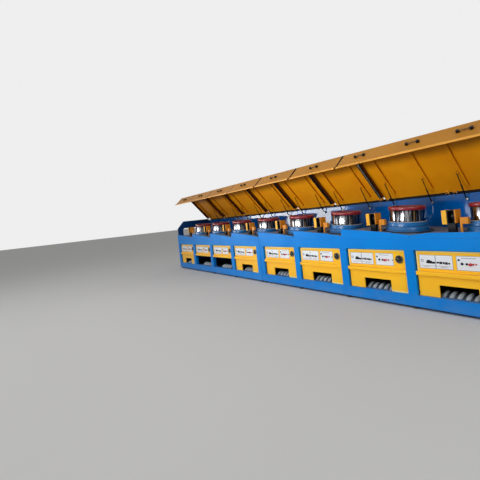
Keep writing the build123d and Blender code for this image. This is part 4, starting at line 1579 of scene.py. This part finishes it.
@dataclass
class Studio:
    """Camera at the photograph's place, soft lamps, and a pale floor."""

    eye: Point = (6.809, -5.529, 1.637)
    yaw_deg: float = 32.693
    pitch_deg: float = 0.535
    roll_deg: float = -6.026
    focal_px: float = 340.72
    axis_px: Flat = (240.5, 214.0)
    picture_px: float = 480.0
    sensor_mm: float = 36.0
    floor_size: float = 160.0
    floor_colour: Colour = srgb(206, 206, 205)
    floor_roughness: float = 0.9
    low_spread_deg: float = 64.0
    sky_light: Colour = (0.42, 0.42, 0.42, 1.0)
    sky_seen: Colour = (0.86, 0.86, 0.86, 1.0)

    def camera(self) -> None:
        """Sets the camera where the photograph was taken from."""
        yaw, pitch, roll = (math.radians(a) for a in (self.yaw_deg, self.pitch_deg, self.roll_deg))
        ahead = Vector((-math.cos(yaw) * math.cos(pitch), math.sin(yaw) * math.cos(pitch), math.sin(pitch)))
        right = ahead.cross(Vector((0, 0, 1))).normalized()
        up = right.cross(ahead)
        turned_right = math.cos(roll) * right + math.sin(roll) * up
        turned_up = -math.sin(roll) * right + math.cos(roll) * up
        data = bpy.data.cameras.new("camera")
        data.sensor_width = self.sensor_mm
        data.lens = self.focal_px / self.picture_px * self.sensor_mm
        data.shift_x = (self.picture_px / 2 - self.axis_px[0]) / self.picture_px
        data.shift_y = (self.axis_px[1] - self.picture_px / 2) / self.picture_px
        data.clip_end = 400
        camera = bpy.data.objects.new("camera", data)
        bpy.context.scene.collection.objects.link(camera)
        turn = Matrix((turned_right, turned_up, -ahead)).transposed().to_4x4()
        camera.matrix_world = shift(*self.eye) @ turn
        bpy.context.scene.camera = camera

    def lamp(
        self, name: str, spot: Point, aim: Point, size: Flat, power: float
    ) -> bpy.types.Object:
        """A soft lamp with a flat face.

        Args:
            name: The lamp's name.
            spot: Where it stands.
            aim: The point that it shines at.
            size: Its width and height in metres.
            power: Its power in watts.

        Returns:
            The lamp.
        """
        data = bpy.data.lights.new(name, "AREA")
        data.shape = "RECTANGLE"
        data.size, data.size_y = size
        data.energy = power
        lamp = bpy.data.objects.new(name, data)
        bpy.context.scene.collection.objects.link(lamp)
        line = Vector(aim) - Vector(spot)
        lamp.matrix_world = shift(*spot) @ line.to_track_quat("-Z", "Y").to_matrix().to_4x4()
        return lamp

    def floor(self) -> None:
        """A wide pale floor."""
        settle_selection()
        bpy.ops.mesh.primitive_plane_add(size=self.floor_size)
        floor = bpy.context.object
        floor.name = "floor"
        made, graph, shader = new_material("pale_floor")
        graph.fill(shader, {
            "Base Color": self.floor_colour, "Roughness": self.floor_roughness,
            "Specular IOR Level": 0.0})
        floor.data.materials.append(made)

    def world(self) -> None:
        """A plain sky: pale to the camera and in reflections, dimmer as a light."""
        world = bpy.data.worlds.new("plain_sky")
        world.use_nodes = True
        bpy.context.scene.world = world
        graph = Graph(world.node_tree)
        back = world.node_tree.nodes["Background"]
        path = graph.add("ShaderNodeLightPath")
        seen = graph.maths("MAXIMUM", path.outputs["Is Camera Ray"], path.outputs["Is Glossy Ray"])
        graph.fill(back, {"Color": graph.mix(seen, self.sky_light, self.sky_seen), "Strength": 1.0})

    def build(self) -> None:
        """Sets camera, lamps, floor and sky."""
        self.camera()
        self.floor()
        self.world()
        self.lamp("front_soft", spot=(0.0, -8.5, 8.5), aim=(0.0, 0.0, 1.0), size=(9.0, 6.0), power=400.0)
        self.lamp("right_soft", spot=(10.5, -4.0, 5.0), aim=(2.0, 0.0, 1.2), size=(4.0, 4.0), power=150.0)
        low = self.lamp(
            "low_soft", spot=(1.0, -7.0, 0.8), aim=(1.0, 0.0, 2.4), size=(7.0, 0.8), power=46.0)
        low.data.spread = math.radians(self.low_spread_deg)
        window = self.lamp(
            "window", spot=(-10.3, -8.0, 1.2), aim=(-10.3, 0.0, 1.2), size=(9.4, 1.8), power=640.0)
        window.visible_diffuse = False
        bpy.context.scene.view_settings.view_transform = "Standard"


@dataclass(frozen=True)
class Layout:
    """Bays and pillars of the frame modules along the machine."""

    bay_pitch: float = 1.250
    pillar: float = 0.147
    joint: float = 0.008
    modules: int = 2
    bays_each: int = 4
    rail_half: float = 0.050

    def starts(self, left: float) -> list[float]:
        """Left ends of the modules."""
        pitch = self.bays_each * self.bay_pitch + self.pillar + self.joint
        return [left + m * pitch for m in range(self.modules)]

    def bays(self, left: float) -> list[float]:
        """Left edges of the bays' pillars."""
        return [start + k * self.bay_pitch for start in self.starts(left) for k in range(self.bays_each)]

    def pillars(self, left: float) -> list[float]:
        """Centres of all pillars."""
        middles = [k * self.bay_pitch + self.pillar / 2 for k in range(self.bays_each + 1)]
        return [start + x for start in self.starts(left) for x in middles]


def main() -> None:
    """Builds the studio and every sub-assembly in order."""
    logging.basicConfig(level=logging.INFO, format="%(message)s")
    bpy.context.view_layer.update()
    layout = Layout()
    low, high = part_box("pillars")
    bays = layout.bays(low.x)
    drums = [joint(f"drum_{number}_spin")["pos_m"][0] for number in range(1, BLOCKS + 1)]
    Studio().build()
    FrameModules().build()
    LevellingFeet().build(layout.pillars(low.x), (low.y + layout.rail_half, high.y - layout.rail_half))
    Drum().build()
    WirePath().build(drums)
    FrontPanels().build(bays, layout.pillar)
    Hoses().build(bays)
    Covers().build(drums)


if __name__ == "__main__":
    main()
